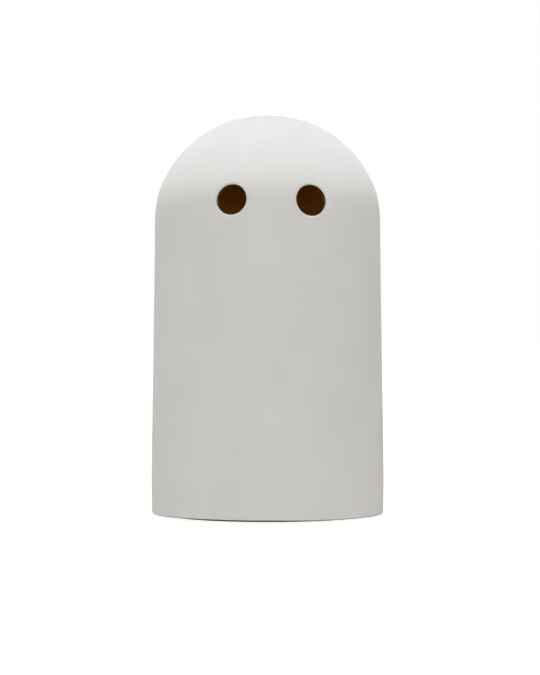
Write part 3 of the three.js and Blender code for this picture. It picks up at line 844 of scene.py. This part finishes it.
# %% Radii and heights that the base's pieces share, in millimetres
LEDGE, BORE = 44.48, 47.49  # inside of the plinth, at the ledge under the housing and above it
DRUM = 56.79
FOOT = Box("felt_pad").x1
FLANGE = Box("plinth").x1
FLANGE_LOW, FLANGE_TOP = 4.5, 9.0
PLINTH_TOP = Box("plinth").z1
PLATE_TOP = Box("top_plate").z1
MAGNET = Box("magnet_1")
MAGNET_RADIUS, MAGNET_CIRCLE = (MAGNET.x1 - MAGNET.x0) / 2, MAGNET.y
POCKET = MAGNET_RADIUS + 0.3
SCREW_CIRCLE, SCREW_HOLE = Box("top_plate_screw_1").y, 1.75
THIRDS = [math.radians(180 + 120 * i) for i in range(3)]  # turns from the front to screws and magnets


def drills(radius, low, high, circle, sides=48, spin=0.0):
    """Three round cutting tools on a circle about the lamp's axis, each turned by `spin` about its own."""
    return [move(disc_piece("tool", radius, low, high, sides), x=circle * math.sin(turn),
                 y=-circle * math.cos(turn), spin=spin) for turn in THIRDS]


print("foot", FOOT, "flange", FLANGE, "magnets of radius", round(MAGNET_RADIUS, 2), "at",
      round(MAGNET_CIRCLE, 2))

# %% Felt ring
def felt_ring():
    """Pressed felt with soft edges. Its faces are lumpy by a few hundredths, as felt is."""
    inner = LEDGE + 1.5
    corners = [(inner, 0, 0.2), (FOOT, 0, 0.2), (FOOT, 2, 0.6), (inner, 2, 0.6)]
    outline = rounded(corners, 0.2, steps=4)
    profile = []
    for (r, z), (r2, z2) in zip(outline, outline[1:] + outline[:1]):
        pieces = max(1, round(math.hypot(r2 - r, z2 - z) / 1.2))
        profile += [(r + (r2 - r) * i / pieces, z + (z2 - z) * i / pieces) for i in range(pieces)]
    piece = turned("felt_ring", profile, sides=240)
    middle = Vector(((inner + FOOT) / 2, 1))
    for vertex in piece.data.vertices:
        p = vertex.co / MM
        r = math.hypot(p.x, p.y)
        lump = 0.10 * noise.noise(p * 0.9) + 0.06 * noise.noise(p * 2.7)
        inward = Vector((middle.x - r, middle.y - p.z)).normalized()
        depth = 0.08 + lump
        vertex.co.x += p.x / r * inward.x * depth * MM
        vertex.co.y += p.y / r * inward.x * depth * MM
        vertex.co.z += inward.y * max(0.0, depth) * MM
    return dress(piece, "base", "felt_pad", finishes=[FELT])


felt_ring()

# %% Plinth
def plinth():
    """Turned walnut, with two fine grooves on the drum, pockets for the magnets and pilot holes."""
    groove = 0.45

    def v_groove(z):
        return [(DRUM, z - groove, 0.1), (DRUM - groove, z, 0.1), (DRUM, z + groove, 0.1)]

    corners = [
        (LEDGE, 2, 0.3), (FOOT, 2, 0.3), (FOOT, 3, 0.4), (FLANGE - 0.2, FLANGE_LOW - 0.05, 0.9),
        (FLANGE, FLANGE_TOP, 0.7), (DRUM, FLANGE_TOP, 0.3), *v_groove(13.5), *v_groove(26.0),
        (DRUM, PLINTH_TOP, 1.0), (BORE, PLINTH_TOP, 0.4), (BORE, 5, 0.2), (LEDGE, 5, 0.3)]
    piece = turned("turned_plinth", rounded(corners, 0.3), sides=192)
    pockets = drills(POCKET, MAGNET.z0, FLANGE_TOP + 1, MAGNET_CIRCLE)
    carve(piece, pockets + drills(SCREW_HOLE, 18.5, PLINTH_TOP + 1, SCREW_CIRCLE, sides=24))
    return dress(piece, "base", "plinth", finishes=[WALNUT])


plinth()

# %% Gasket and magnets
def gasket():
    """A moulded silicone ring with two shallow grooves, and holes through which the magnets look."""
    low, high = FLANGE_TOP, 10.0
    inner, outer = DRUM + 0.6, FLANGE - 0.6
    corners = [(inner, low, 0.1), (outer, low, 0.1), (outer, high, 0.1)]
    for middle in (MAGNET_CIRCLE + 1.3, MAGNET_CIRCLE - 1.3):
        corners += [(middle + 0.4, high, 0.1), (middle + 0.15, high - 0.3, 0.1),
                    (middle - 0.15, high - 0.3, 0.1), (middle - 0.4, high, 0.1)]
    corners.append((inner, high, 0.1))
    piece = turned("soft_gasket", rounded(corners, 0.1), sides=192)
    carve(piece, drills(POCKET, low - 1, high + 1, MAGNET_CIRCLE, spin=0.05))
    return dress(piece, "base", "gasket_ring", finishes=[SILICONE])


gasket()
for number in (1, 2, 3):
    magnet = disc_piece(f"nickel_magnet_{number}", MAGNET_RADIUS, MAGNET.z0, MAGNET.z1, edge=0.25)
    box = Box(f"magnet_{number}")
    move(magnet, x=box.x, y=box.y)
    dress(magnet, "base", f"magnet_{number}", finishes=[NICKEL])

# %% Seat ring
def seat_ring():
    """Angle ring rolled from steel strip: a bend on the outside, and a flat part that sits on the gasket."""
    box = Box("seat_ring")
    inner, outer, bottom, top = DRUM + 1.5, box.x1, box.z0, box.z1
    strip = 1.5
    corners = [(inner, bottom, 0.3), (outer, bottom, 2.0), (outer, top, 0.4), (outer - strip, top, 0.4),
               (outer - strip, bottom + strip, 0.6), (inner, bottom + strip, 0.3)]
    piece = turned("steel_seat_ring", rounded(corners, 0.3, steps=5), sides=192)
    return dress(piece, "ghost", "seat_ring", finishes=[ZINC])


seat_ring()

# %% [markdown]
# ## Screws with a real recess
# A screw head is small, but light catches in its cross. The head is turned, and the cross is two short
# tapered blades cut into it. A bump could draw the cross, but it would look flat from the side. The shank
# carries a coarse thread, shown here as a stack of ridges, because a true helix would cost many faces that
# nobody sees.

# %% Screws
def cross_blade(size, top, spin):
    """A blade that tapers downwards, for cutting one arm of the recess."""
    wide, deep, thick = size * 0.56, size * 0.42, size * 0.15
    points = []
    for z, share in ((top - deep, 0.35), (top + 0.5, 1.1)):
        for x, y in ((-1, -1), (1, -1), (1, 1), (-1, 1)):
            points.append((x * wide * share, y * thick * (0.6 + 0.4 * share), z))
    faces = [(3, 2, 1, 0), (4, 5, 6, 7), (0, 1, 5, 4), (1, 2, 6, 5), (2, 3, 7, 6), (3, 0, 4, 7)]
    return move(mesh_piece("tool", points, faces), spin=spin)


def screw(name, node, shank, length, head, head_height, spin):
    """A screw whose head is where the node has it. Shank and head are radii."""
    box = Box(node)
    seat = box.z1 - head_height
    tip = seat - length
    profile = [(0, tip, 0), (shank * 0.5, tip, 0.1), (shank * 0.8, tip + 0.8, 0.1)]
    z = tip + 1.2
    while z < seat - 0.5:
        profile += [(shank * 0.8, z, 0.03), (shank, z + 0.2, 0.05), (shank * 0.8, z + 0.4, 0.03)]
        z += 0.7
    profile += [(shank * 0.8, seat, 0.05), (head, seat, 0.12), (head, seat + head_height * 0.45, 0.5),
                (head * 0.72, seat + head_height, 0.5), (0, seat + head_height, 0)]
    piece = turned(name, rounded(profile, 0.1, steps=2, closed=False), sides=32, closed=False)
    carve(piece, [cross_blade(head, seat + head_height, turn) for turn in (0, math.pi / 2)])
    move(piece, x=box.x, y=box.y, spin=spin)
    return dress(piece, "base", node, finishes=[ZINC])


PLATE_SCREW = {"shank": 1.45, "length": 12, "head": 2.5, "head_height": 1.8}
BOARD_SCREW = {"shank": 1.0, "length": 4, "head": 1.9, "head_height": 1.3}
for number in (1, 2, 3):
    screw(f"plate_screw_{number}", f"top_plate_screw_{number}", **PLATE_SCREW, spin=0.4 * number)
for number in (1, 2):
    for place in ("led_board", "control_board"):
        screw(f"{place}_fixing_{number}", f"{place}_screw_{number}", **BOARD_SCREW, spin=0.7 * number)

# %% [markdown]
# ## Plate, collar and diffuser
# With the ghost lifted off, this is what one sees: a brushed bronze plate, and on it an opal dome held by a
# knurled collar. The dome glows, and that glow is the only light inside the ghost.
# All three are turned, and the collar's flutes are a ripple in its radius, which takes many sides but no
# cutting. The dome's own surface gives off the light. Lamps inside would be closer to the real thing, but
# light that has to find its way through an opal wall renders slowly and with much noise.

# %% Top plate
def top_plate():
    box = Box("top_plate")
    corners = [(0, box.z0, 0), (box.x1, box.z0, 0.3), (box.x1, box.z1, 0.5), (0, box.z1, 0)]
    piece = turned("brushed_top_plate", rounded(corners, 0.3, closed=False), sides=192, closed=False)
    below, above = box.z0 - 1, box.z1 + 1
    holes = drills(SCREW_HOLE, below, above, SCREW_CIRCLE, sides=24)
    holes.append(disc_piece("tool", 3, below, above))
    holes += [move(disc_piece("tool", 1.3, below, above, 24), x=x) for x in (-16.5, 16.5)]
    carve(piece, holes)
    return dress(piece, "base", "top_plate", finishes=[BRONZE])


top_plate()

# %% Collar and dome
DOME, DOME_WALL = 26.0, 2.0
DOME_BASE = PLATE_TOP + 12.5
FLUTES, FLUTE_DEPTH = 60, 0.5


def collar():
    """Turned bronze ring. Fine flutes on its outside give a grip."""
    wide, narrow, top = 28.3, 26.3, PLATE_TOP + 6
    step = PLATE_TOP + 1.8
    corners = [(wide, PLATE_TOP, 0.1), (31, PLATE_TOP, 0.3), (31, PLATE_TOP + 1.0, 0.3),
               (30.6, PLATE_TOP + 1.3, 0.15), (31, PLATE_TOP + 1.6, 0.15), (31, top - 1.2, 0.3),
               (30, top, 0.5), (narrow, top, 0.4), (narrow, step, 0.1), (wide, step, 0.1)]

    def flutes(r, z, turn):
        if r < 30.7 or not PLATE_TOP + 1.6 < z < top - 1.1:
            return r
        return r - FLUTE_DEPTH * (0.5 - 0.5 * math.cos(FLUTES * turn))

    piece = turned("knurled_collar", rounded(corners, 0.2), sides=720, ripple=flutes)
    return dress(piece, "base", "diffuser_collar", finishes=[BRONZE])


def diffuser():
    inner = DOME - DOME_WALL
    corners = [(inner, PLATE_TOP, 0.1), (28, PLATE_TOP, 0.2), (28, PLATE_TOP + 1.5, 0.3),
               (DOME, PLATE_TOP + 1.5, 0.3), (DOME, DOME_BASE, 0)]
    arc = [math.radians(3.75 * i) for i in range(1, 24)]
    corners += [(DOME * math.cos(t), DOME_BASE + DOME * math.sin(t), 0) for t in arc]
    corners += [(0, DOME_BASE + DOME, 0), (0, DOME_BASE + inner, 0)]
    corners += [(inner * math.cos(t), DOME_BASE + inner * math.sin(t), 0) for t in reversed(arc)]
    corners += [(inner, DOME_BASE, 0)]
    piece = turned("opal_dome", rounded(corners, 0.2), sides=128)
    return dress(piece, "base", "diffuser_dome", finishes=[OPAL])


collar()
diffuser()

# %% [markdown]
# ## The underside: housing, battery door and switch
# Turned over, the lamp shows a moulded tub with a door over the cells and a switch beside it. The door
# swings on a steel pin. Six grooves near its front edge give a grip, and two shallow channels run along its
# inside. Door and knob have one outline along their whole width, so it is extruded and the grooves are cut
# in. A bevelled cube would do for the panel, but the round knuckle is one piece with it.

# %% Battery door and its pin
HINGE_Y, HINGE_Z = 32.3, 4.4
KNUCKLE = 2.0


def extruded(name, outline, half, bevel):
    """A prism along X from an outline of y and z that runs counterclockwise as seen from +X."""
    body = bmesh.new()
    ends = []
    for x in (-half, half):
        ends.append([body.verts.new((x * MM, y * MM, z * MM)) for y, z in outline])
    body.faces.new(ends[0][::-1])
    body.faces.new(ends[1])
    for i in range(len(outline)):
        j = (i + 1) % len(outline)
        body.faces.new((ends[0][i], ends[0][j], ends[1][j], ends[1][i]))
    rims = [edge for edge in body.edges if abs(edge.verts[0].co.x - edge.verts[1].co.x) < 1e-9]
    bmesh.ops.bevel(body, geom=rims, offset=bevel * MM, segments=2, profile=0.5, affect="EDGES")
    return bmesh_piece(name, body)


def rod(name, radius, half, y, z, edge=0.2):
    """A round bar along X."""
    piece = disc_piece(name, radius, -half, half, sides=32, edge=edge)
    piece.data.transform(Matrix.Translation((0, y * MM, z * MM)) @ Matrix.Rotation(math.pi / 2, 4, "Y"))
    return piece


def battery_door():
    """A flat panel that ends in a round knuckle, with a bore for the pin."""
    box = Box("battery_door")
    half, front, bottom, top = box.x1, box.y0, box.z0, HINGE_Z
    outline = [(front + 0.5, bottom), (HINGE_Y, bottom)]
    for step in range(1, 24):
        turn = math.radians(-90 + 270 * step / 24)
        outline.append((HINGE_Y + KNUCKLE * math.cos(turn), HINGE_Z + KNUCKLE * math.sin(turn)))
    outline += [(HINGE_Y - KNUCKLE, top), (front + 0.3, top), (front, top - 0.3), (front, bottom + 0.5),
                (front + 0.15, bottom + 0.15)]
    piece = extruded("battery_door_panel", outline, half, bevel=0.25)
    tools = [rod("tool", 1.3, half + 1, HINGE_Y, HINGE_Z, edge=0)]
    for row in range(6):
        y = front + 3.4 + 1.9 * row
        tools.append(box_piece("tool", (-13, y - 0.45, bottom - 1), (13, y + 0.45, bottom + 0.45), 0.2))
    for side in (-1, 1):
        x = side * 20.5
        tools.append(box_piece("tool", (x - 2.2, -18, top - 0.6), (x + 2.2, 26, top + 1), 0.3))
    carve(piece, tools)
    return dress(piece, "door", "battery_door", finishes=[DARK_PLASTIC])


battery_door()
hinge_pin = rod("steel_hinge_pin", 1, Box("door_hinge_pin").x1, HINGE_Y, HINGE_Z)
dress(hinge_pin, "base", "door_hinge_pin", finishes=[ZINC])

# %% Switch knob
def switch_knob():
    """An ivory slider with four ridges across its face, on a stem that reaches into the switch."""
    box = Box("switch_knob")
    y0, z0, y1, z1 = box.y0, box.z0, box.y1, box.z1
    shoulder = z1 - 2.3
    outline = [(y0, z0 + 0.5), (y0 + 0.3, z0 + 0.1)]
    ridges = 4
    pitch = (y1 - y0 - 0.8) / ridges
    for ridge in range(ridges):
        y = y0 + 0.4 + pitch * ridge
        outline += [(y + 0.1 * pitch, z0), (y + 0.5 * pitch, z0), (y + 0.75 * pitch, z0 + 0.45)]
    outline += [(y1 - 0.3, z0 + 0.1), (y1, z0 + 0.5), (y1, shoulder), (y0, shoulder)]
    piece = extruded("switch_slider", outline, (box.x1 - box.x0) / 2, bevel=0.2)
    stem = box_piece("tool", (-1, y0 + 1, shoulder - 1), (1, y1 - 1, z1), 0.15)
    carve(piece, [stem], "UNION")
    move(piece, x=box.x)
    return dress(piece, "knob", "switch_knob", finishes=[IVORY_PLASTIC])


switch_knob()

# %% [markdown]
# ## Cells, springs and leads
# Behind the door lie three plain cells. Each is a steel can in a shrunk sleeve, with a lighter band at the
# nub's end so that one sees which way it goes. The springs are wound as cones, so that the turns fit into
# each other when they are pressed flat. Curves with a round bevel could be the wires. A small sweep gives
# the mesh at once, with closed ends.

# %% Cells
def cell(number):
    """A sleeved can along Y. The finish of each face goes by where it lies on the profile."""
    node = f"battery_cell_{number}"
    box = Box(node)
    length, radius = box.y1 - box.y0, (box.z1 - box.z0) / 2
    end = length - 1.0
    band = end - 9.5  # where the lighter band starts
    corners = [
        (0, 0.25, 0), (5.2, 0.25, 0.1), (5.6, 0.0, 0.1),
        (radius - 0.9, 0.0, 0.1), (radius, 0.25, 0.5), (radius, band, 0.02),
        (radius, band + 0.1, 0.02), (radius, end - 0.2, 0.6), (radius - 1.6, end - 0.05, 0.1),
        (radius - 1.7, end - 0.3, 0.1), (3.3, end - 0.3, 0.3), (2.75, end, 0.2), (2.75, length, 0.4),
        (0, length, 0)]
    piece = turned(f"cell_{number}", rounded(corners, 0.1, closed=False), sides=64, closed=False)
    for face in piece.data.polygons:
        centre = face.center / MM
        r = math.hypot(centre.x, centre.y)
        face.material_index = 2
        if r > 5.6 and centre.z < end - 0.04:
            face.material_index = 0 if centre.z < band + 0.05 else 1
    forward = 1 if number == 2 else -1  # which way the nub points along Y
    start = box.y0 if forward > 0 else box.y1
    turn = Matrix.Rotation(-forward * math.pi / 2, 4, "X")
    piece.data.transform(Matrix.Translation((box.x * MM, start * MM, box.z * MM)) @ turn)
    return dress(piece, "base", node, finishes=[SLEEVE_DARK, SLEEVE_LIGHT, ZINC])


for number in (1, 2, 3):
    cell(number)

# %% Wires: springs and leads
def tube(name, path, radius, sides=10):
    """A round wire along a list of points, with closed ends and no twist."""
    points = [Vector(p) for p in path]
    rings = []
    made = []
    across = None
    for i, point in enumerate(points):
        along = (points[min(i + 1, len(points) - 1)] - points[max(i - 1, 0)]).normalized()
        if across is None:
            across = along.orthogonal().normalized()
        across = (across - along * across.dot(along)).normalized()
        outside_foot_shadow = along.cross(across)
        rings.append(list(range(len(made), len(made) + sides)))
        for k in range(sides):
            turn = 2 * math.pi * k / sides
            made.append(tuple(point + radius * (math.cos(turn) * across + math.sin(turn) * outside_foot_shadow)))
    faces = [rings[0][::-1], rings[-1]]
    for low, high in zip(rings, rings[1:]):
        for k in range(sides):
            j = (k + 1) % sides
            faces.append([low[k], low[j], high[j], high[k]])
    return mesh_piece(name, made, faces, angle=60)


def contact_spring(number):
    """The CAD solid's own cone helix, with a rounder wire."""
    spring, cell_box = Box(f"contact_spring_{number}"), Box(f"battery_cell_{number}")
    side = -1 if number == 2 else 1
    base = spring.y1 if side > 0 else spring.y0
    turns, steps = 3, 96
    wire, reach = 0.35, 4.6  # radius of the wire, and length from the contact to the cell
    path = []
    for step in range(steps + 1):
        share = step / steps
        turn = 2 * math.pi * turns * share
        radius = 3.4 + 1.4 * (1 - share)
        rise = wire + share * (reach - 2 * wire)
        path.append((cell_box.x + radius * math.cos(turn), base - side * rise,
                     cell_box.z + side * radius * math.sin(turn)))
    piece = tube(f"cell_spring_{number}", path, wire)
    return dress(piece, "base", f"contact_spring_{number}", finishes=[SPRING_STEEL])


for number in (1, 2, 3):
    contact_spring(number)


def smooth_route(corners, steps=8):
    """A centripetal Catmull-Rom curve through the given points, as the CAD lead has it."""
    points = [Vector(c) for c in corners]
    points = [2 * points[0] - points[1], *points, 2 * points[-1] - points[-2]]
    route = []
    for i in range(1, len(points) - 2):
        p0, p1, p2, p3 = points[i - 1:i + 3]
        t0 = 0.0
        t1 = t0 + (p1 - p0).length ** 0.5
        t2 = t1 + (p2 - p1).length ** 0.5
        t3 = t2 + (p3 - p2).length ** 0.5
        for step in range(steps):
            t = t1 + (t2 - t1) * step / steps
            a1 = (p0 * (t1 - t) + p1 * (t - t0)) / (t1 - t0)
            a2 = (p1 * (t2 - t) + p2 * (t - t1)) / (t2 - t1)
            a3 = (p2 * (t3 - t) + p3 * (t - t2)) / (t3 - t2)
            b1 = (a1 * (t2 - t) + a2 * (t - t0)) / (t2 - t0)
            b2 = (a2 * (t3 - t) + a3 * (t - t1)) / (t3 - t1)
            route.append((b1 * (t2 - t) + b2 * (t - t1)) / (t2 - t1))
    return [*route, points[-2]]


def lead_routes():
    """The routes of part.mjs, in millimetres."""
    cell_x = 15.2
    tab_y, tab_top = 28.25, 23.8
    switch_x, switch_top = 33.95, 12.7
    pad, board_top, plinth_top = 26.5, 25.6, PLINTH_TOP
    led_pad = 33.1 + 0.9
    hole = 1.2
    routes = {
        "battery_lead_red": (RED_WIRE, "lead_red", [
            (cell_x, -tab_y, tab_top), (cell_x + 2, -tab_y, tab_top + 1.5), (switch_x - 6, -18, tab_top - 3),
            (switch_x, -6, switch_top + 3), (switch_x, -6, switch_top)]),
        "switch_lead": (RED_WIRE, "lead_red", [
            (switch_x, 6, switch_top), (switch_x, 6, switch_top + 3), (switch_x - 4, 6, board_top - 1),
            (23, 6, pad + 1), (18, 6, pad)]),
        "battery_lead_black": (BLACK_WIRE, "lead_black", [
            (-cell_x, tab_y, tab_top), (-cell_x, tab_y - 2, tab_top + 1.5), (-cell_x, 18, pad + 1),
            (-cell_x, 12, pad)])}
    for side, name, finish in ((-1, "led_lead_black", BLACK_WIRE), (1, "led_lead_red", RED_WIRE)):
        routes[name] = (finish, name.replace("led_lead", "lead"), [
            (side * 5, -28 / 3, pad), (side * 40 / 9, -7, (pad + plinth_top) / 2),
            (side * hole, -hole, plinth_top - 0.6), (side * hole, 0, PLATE_TOP),
            (side * (hole + 0.5), 0, led_pad + 0.6), (side * 5, 0, led_pad)])
    return routes


for node, (finish, slot, corners) in lead_routes().items():
    wire = tube(node.replace("lead", "wire"), smooth_route(corners), 0.6, sides=12)
    dress(wire, "base", node, finishes=[finish])

# %% [markdown]
# ## CAD pieces that only need edges and a finish
# The housing, the switch body, the contacts, the boards, the chip and the LEDs already have their right
# shapes, and making them anew would add nothing that shows. So they keep their CAD meshes. A planar dissolve
# joins their coplanar triangles, and a small bevel then gives every sharp edge the highlight that a moulded
# or punched edge has.

# %% Edges and finishes of the carried-over nodes
def board(name, mask_dark, mask_light, trace, pad):
    """Solder mask with copper traces under it, and a few tinned pads."""
    paint = Finish(name, Specular_IOR_Level=0.5)
    x, y, _ = paint.axes()
    lanes = (x + 1.5 * (y * 0.35).math("ROUND", y * 0.35)).math("PINGPONG", x * 0.8, 1.0)
    traces = lanes.between(0.28, 0.36) - lanes.between(0.64, 0.72)
    dots = paint.speckle(2.6)
    pads = 1 - dots.between(0.12, 0.16)
    weave = paint.noise(0.5, detail=1)
    tone = paint.blend(weave, mask_dark, mask_light)
    tone = paint.blend(0.6 * traces, tone, trace)
    tone = paint.blend(pads, tone, pad)
    return paint.surface(tone, 0.34 + 0.1 * weave - 0.05 * pads, relief=0.035 * traces + 0.02 * pads,
                         Metallic=0.9 * pads)


def led_window():
    """A white package with a round window of yellow phosphor, centred on each LED's own box."""
    paint = Finish("led_package")
    made = paint.node("ShaderNodeTexCoord", output="Generated")
    offset = paint.node("ShaderNodeVectorMath", {"operation": "SUBTRACT"}, [made, (0.5, 0.5, 0.5)])
    x, y, _ = paint.parts(offset)
    window = 1 - ((x * x + y * y) ** 0.5).between(0.27, 0.30)
    grains = paint.noise(0.15, detail=3)
    phosphor = paint.blend(grains, (0.85, 0.58, 0.12), (0.93, 0.72, 0.25))
    tone = paint.blend(window, (0.82, 0.81, 0.78), phosphor)
    return paint.surface(tone, 0.3 + 0.15 * grains, relief=0.02 * grains)


GREEN_BOARD = board("green_board", (0.012, 0.062, 0.024), (0.020, 0.085, 0.034), (0.03, 0.13, 0.045),
                    (0.62, 0.60, 0.55))
WHITE_BOARD = board("white_board", (0.74, 0.74, 0.71), (0.82, 0.82, 0.79), (0.70, 0.69, 0.62),
                    (0.66, 0.64, 0.60))
LED_PACKAGE = led_window()


def soften(node, finish, bevel):
    """Keeps a CAD node, with a weld, a planar dissolve, a bevel on its sharp edges, and a finish."""
    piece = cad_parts[node]
    weld = piece.modifiers.new("join split corners", "WELD")
    weld.merge_threshold = 0.002 * MM
    dissolve = piece.modifiers.new("join coplanar faces", "DECIMATE")
    dissolve.decimate_type = "DISSOLVE"
    dissolve.angle_limit = math.radians(0.5)
    rounding = piece.modifiers.new("soft edges", "BEVEL")
    rounding.width = bevel * MM
    rounding.segments = 2
    rounding.limit_method = "ANGLE"
    rounding.angle_limit = math.radians(40)
    if not piece.material_slots:
        piece.data.materials.append(finish)
    for slot in piece.material_slots:
        slot.material = finish
    bpy.context.view_layer.update()
    shown = piece.evaluated_get(bpy.context.evaluated_depsgraph_get())
    print("node", node, "has", len(piece.data.polygons), "CAD faces and shows", len(shown.data.polygons))


KEPT = {
    "module_housing": (DARK_PLASTIC, 0.2), "switch_body": (DARK_PLASTIC, 0.15),
    "timer_chip": (DARK_PLASTIC, 0.1), "control_board": (GREEN_BOARD, 0.05), "led_board": (WHITE_BOARD, 0.05),
    **{f"led_{i}": (LED_PACKAGE, 0.1) for i in range(1, 7)},
    **{f"contact_{name}": (SPRING_STEEL, 0.08)
       for name in ("positive", "negative", "bridge_front", "bridge_back")}}
for node, (finish, bevel) in KEPT.items():
    soften(node, finish, bevel)

# %% [markdown]
# ## Light, floor and background
# The photograph has a pure white ground and very soft light: most of it comes from all around at the height
# of the lamp, and some from a large source overhead. So the world is a bright band near the horizon for the
# light on the object, and plain white for the camera and for reflections. A sun lamp, made ten degrees
# wide and leaned back a little, stands for the source overhead. The floor is white to the camera. It only
# darkens where the lamp stands close over it, and beside the foot, where hardly any light gets in.

# %% World
HORIZON = 3.94  # radiance of the band near the horizon
OVERHEAD = 0.874  # what the source overhead adds to a white surface that faces it
OVERHEAD_WIDTH = math.radians(10)
OVERHEAD_LEAN = math.radians(-7)


def white_rays(paint):
    """1 for rays from the camera, in reflections and through glass, and 0 for light on the object."""
    path = paint.node("ShaderNodeLightPath").socket.node
    rays = [Wire(paint, path.outputs[f"Is {name} Ray"]) for name in ("Camera", "Glossy", "Transmission")]
    return rays[0].math("MAXIMUM", rays[0].math("MAXIMUM", rays[0], rays[1]), rays[2])


def sky():
    world = bpy.data.worlds.new("soft_studio")
    bpy.context.scene.world = world
    world.use_nodes = True
    paint = Paint(world.node_tree)
    sideways, ahead, height = paint.parts(paint.node("ShaderNodeTexCoord", output="Generated"))
    band = 1 - height.between(0.02, 0.32)
    glow = HORIZON * band * (1 - 0.33 * ahead - 0.052 * sideways)
    white = white_rays(paint)
    background = world.node_tree.nodes["Background"]
    paint.feed(background.inputs["Strength"], white + (1 - white) * glow)
    paint.feed(background.inputs["Color"], paint.blend(white, (0.976, 1.0, 0.995), (1.0, 1.0, 1.0)))


def overhead_source():
    sun = bpy.data.lights.new("overhead_source", "SUN")
    sun.energy = OVERHEAD * math.pi
    sun.color = (0.984, 0.975, 1.0)
    sun.angle = OVERHEAD_WIDTH
    lamp = bpy.data.objects.new("overhead_source", sun)
    bpy.context.scene.collection.objects.link(lamp)
    lamp.rotation_euler = (OVERHEAD_LEAN, 0, 0)


sky()
overhead_source()

# %% Floor
FLOOR_HALF = 60000
FLOOR_GLOW = 0.41  # warm light that the table throws back up
CREVICE = 1.2  # how close over the floor the lamp has to be to darken it


def floor():
    """A wide white floor. From below it is clear, so that the underside can be looked at."""
    corners = [(x * FLOOR_HALF, y * FLOOR_HALF, 0) for x, y in ((-1, -1), (1, -1), (1, 1), (-1, 1))]
    stage = mesh_piece("floor", corners, [(0, 1, 2, 3)])
    material = bpy.data.materials.new("white_floor")
    material.use_nodes = True
    material.node_tree.nodes.clear()
    paint = Paint(material.node_tree)
    geometry = paint.node("ShaderNodeNewGeometry").socket.node
    below = Wire(paint, geometry.outputs["Backfacing"])
    openness = paint.node("ShaderNodeAmbientOcclusion", {"samples": 8}, {"Distance": CREVICE * MM},
                          output="AO")
    x, y, _ = paint.axes()
    # Painted shadow: the camera's white is dimmed where the floor is hemmed in within CREVICE, and in a fixed
    # ring beside the foot, whose diffuse is painted dark warm brown.
    outside_foot_shadow = ((x * x + y * y) ** 0.5).between(FOOT + 0.4, FOOT + 2.8)
    contact = openness.between(0.1, 0.6) * outside_foot_shadow
    white = white_rays(paint)
    tint = paint.blend(contact, (0.09, 0.05, 0.03), (0.3, 0.3, 0.3))
    lit = paint.node("ShaderNodeBsdfDiffuse", inputs={"Color": tint})
    seen = paint.node("ShaderNodeEmission", inputs={"Color": (1, 1, 1), "Strength": 0.92 * contact})
    fill = paint.node("ShaderNodeEmission", inputs={"Color": (1.0, 0.87, 0.74), "Strength": FLOOR_GLOW})
    to_camera = paint.node("ShaderNodeAddShader", inputs=[seen, lit])
    upper = paint.node("ShaderNodeMixShader", inputs=[white, fill, to_camera])
    clear = paint.node("ShaderNodeBsdfTransparent")
    shown = paint.node("ShaderNodeMixShader", inputs=[below, upper, clear])
    target = material.node_tree.nodes.new("ShaderNodeOutputMaterial")
    paint.feed(target.inputs["Surface"], shown)
    stage.data.materials.append(material)


floor()
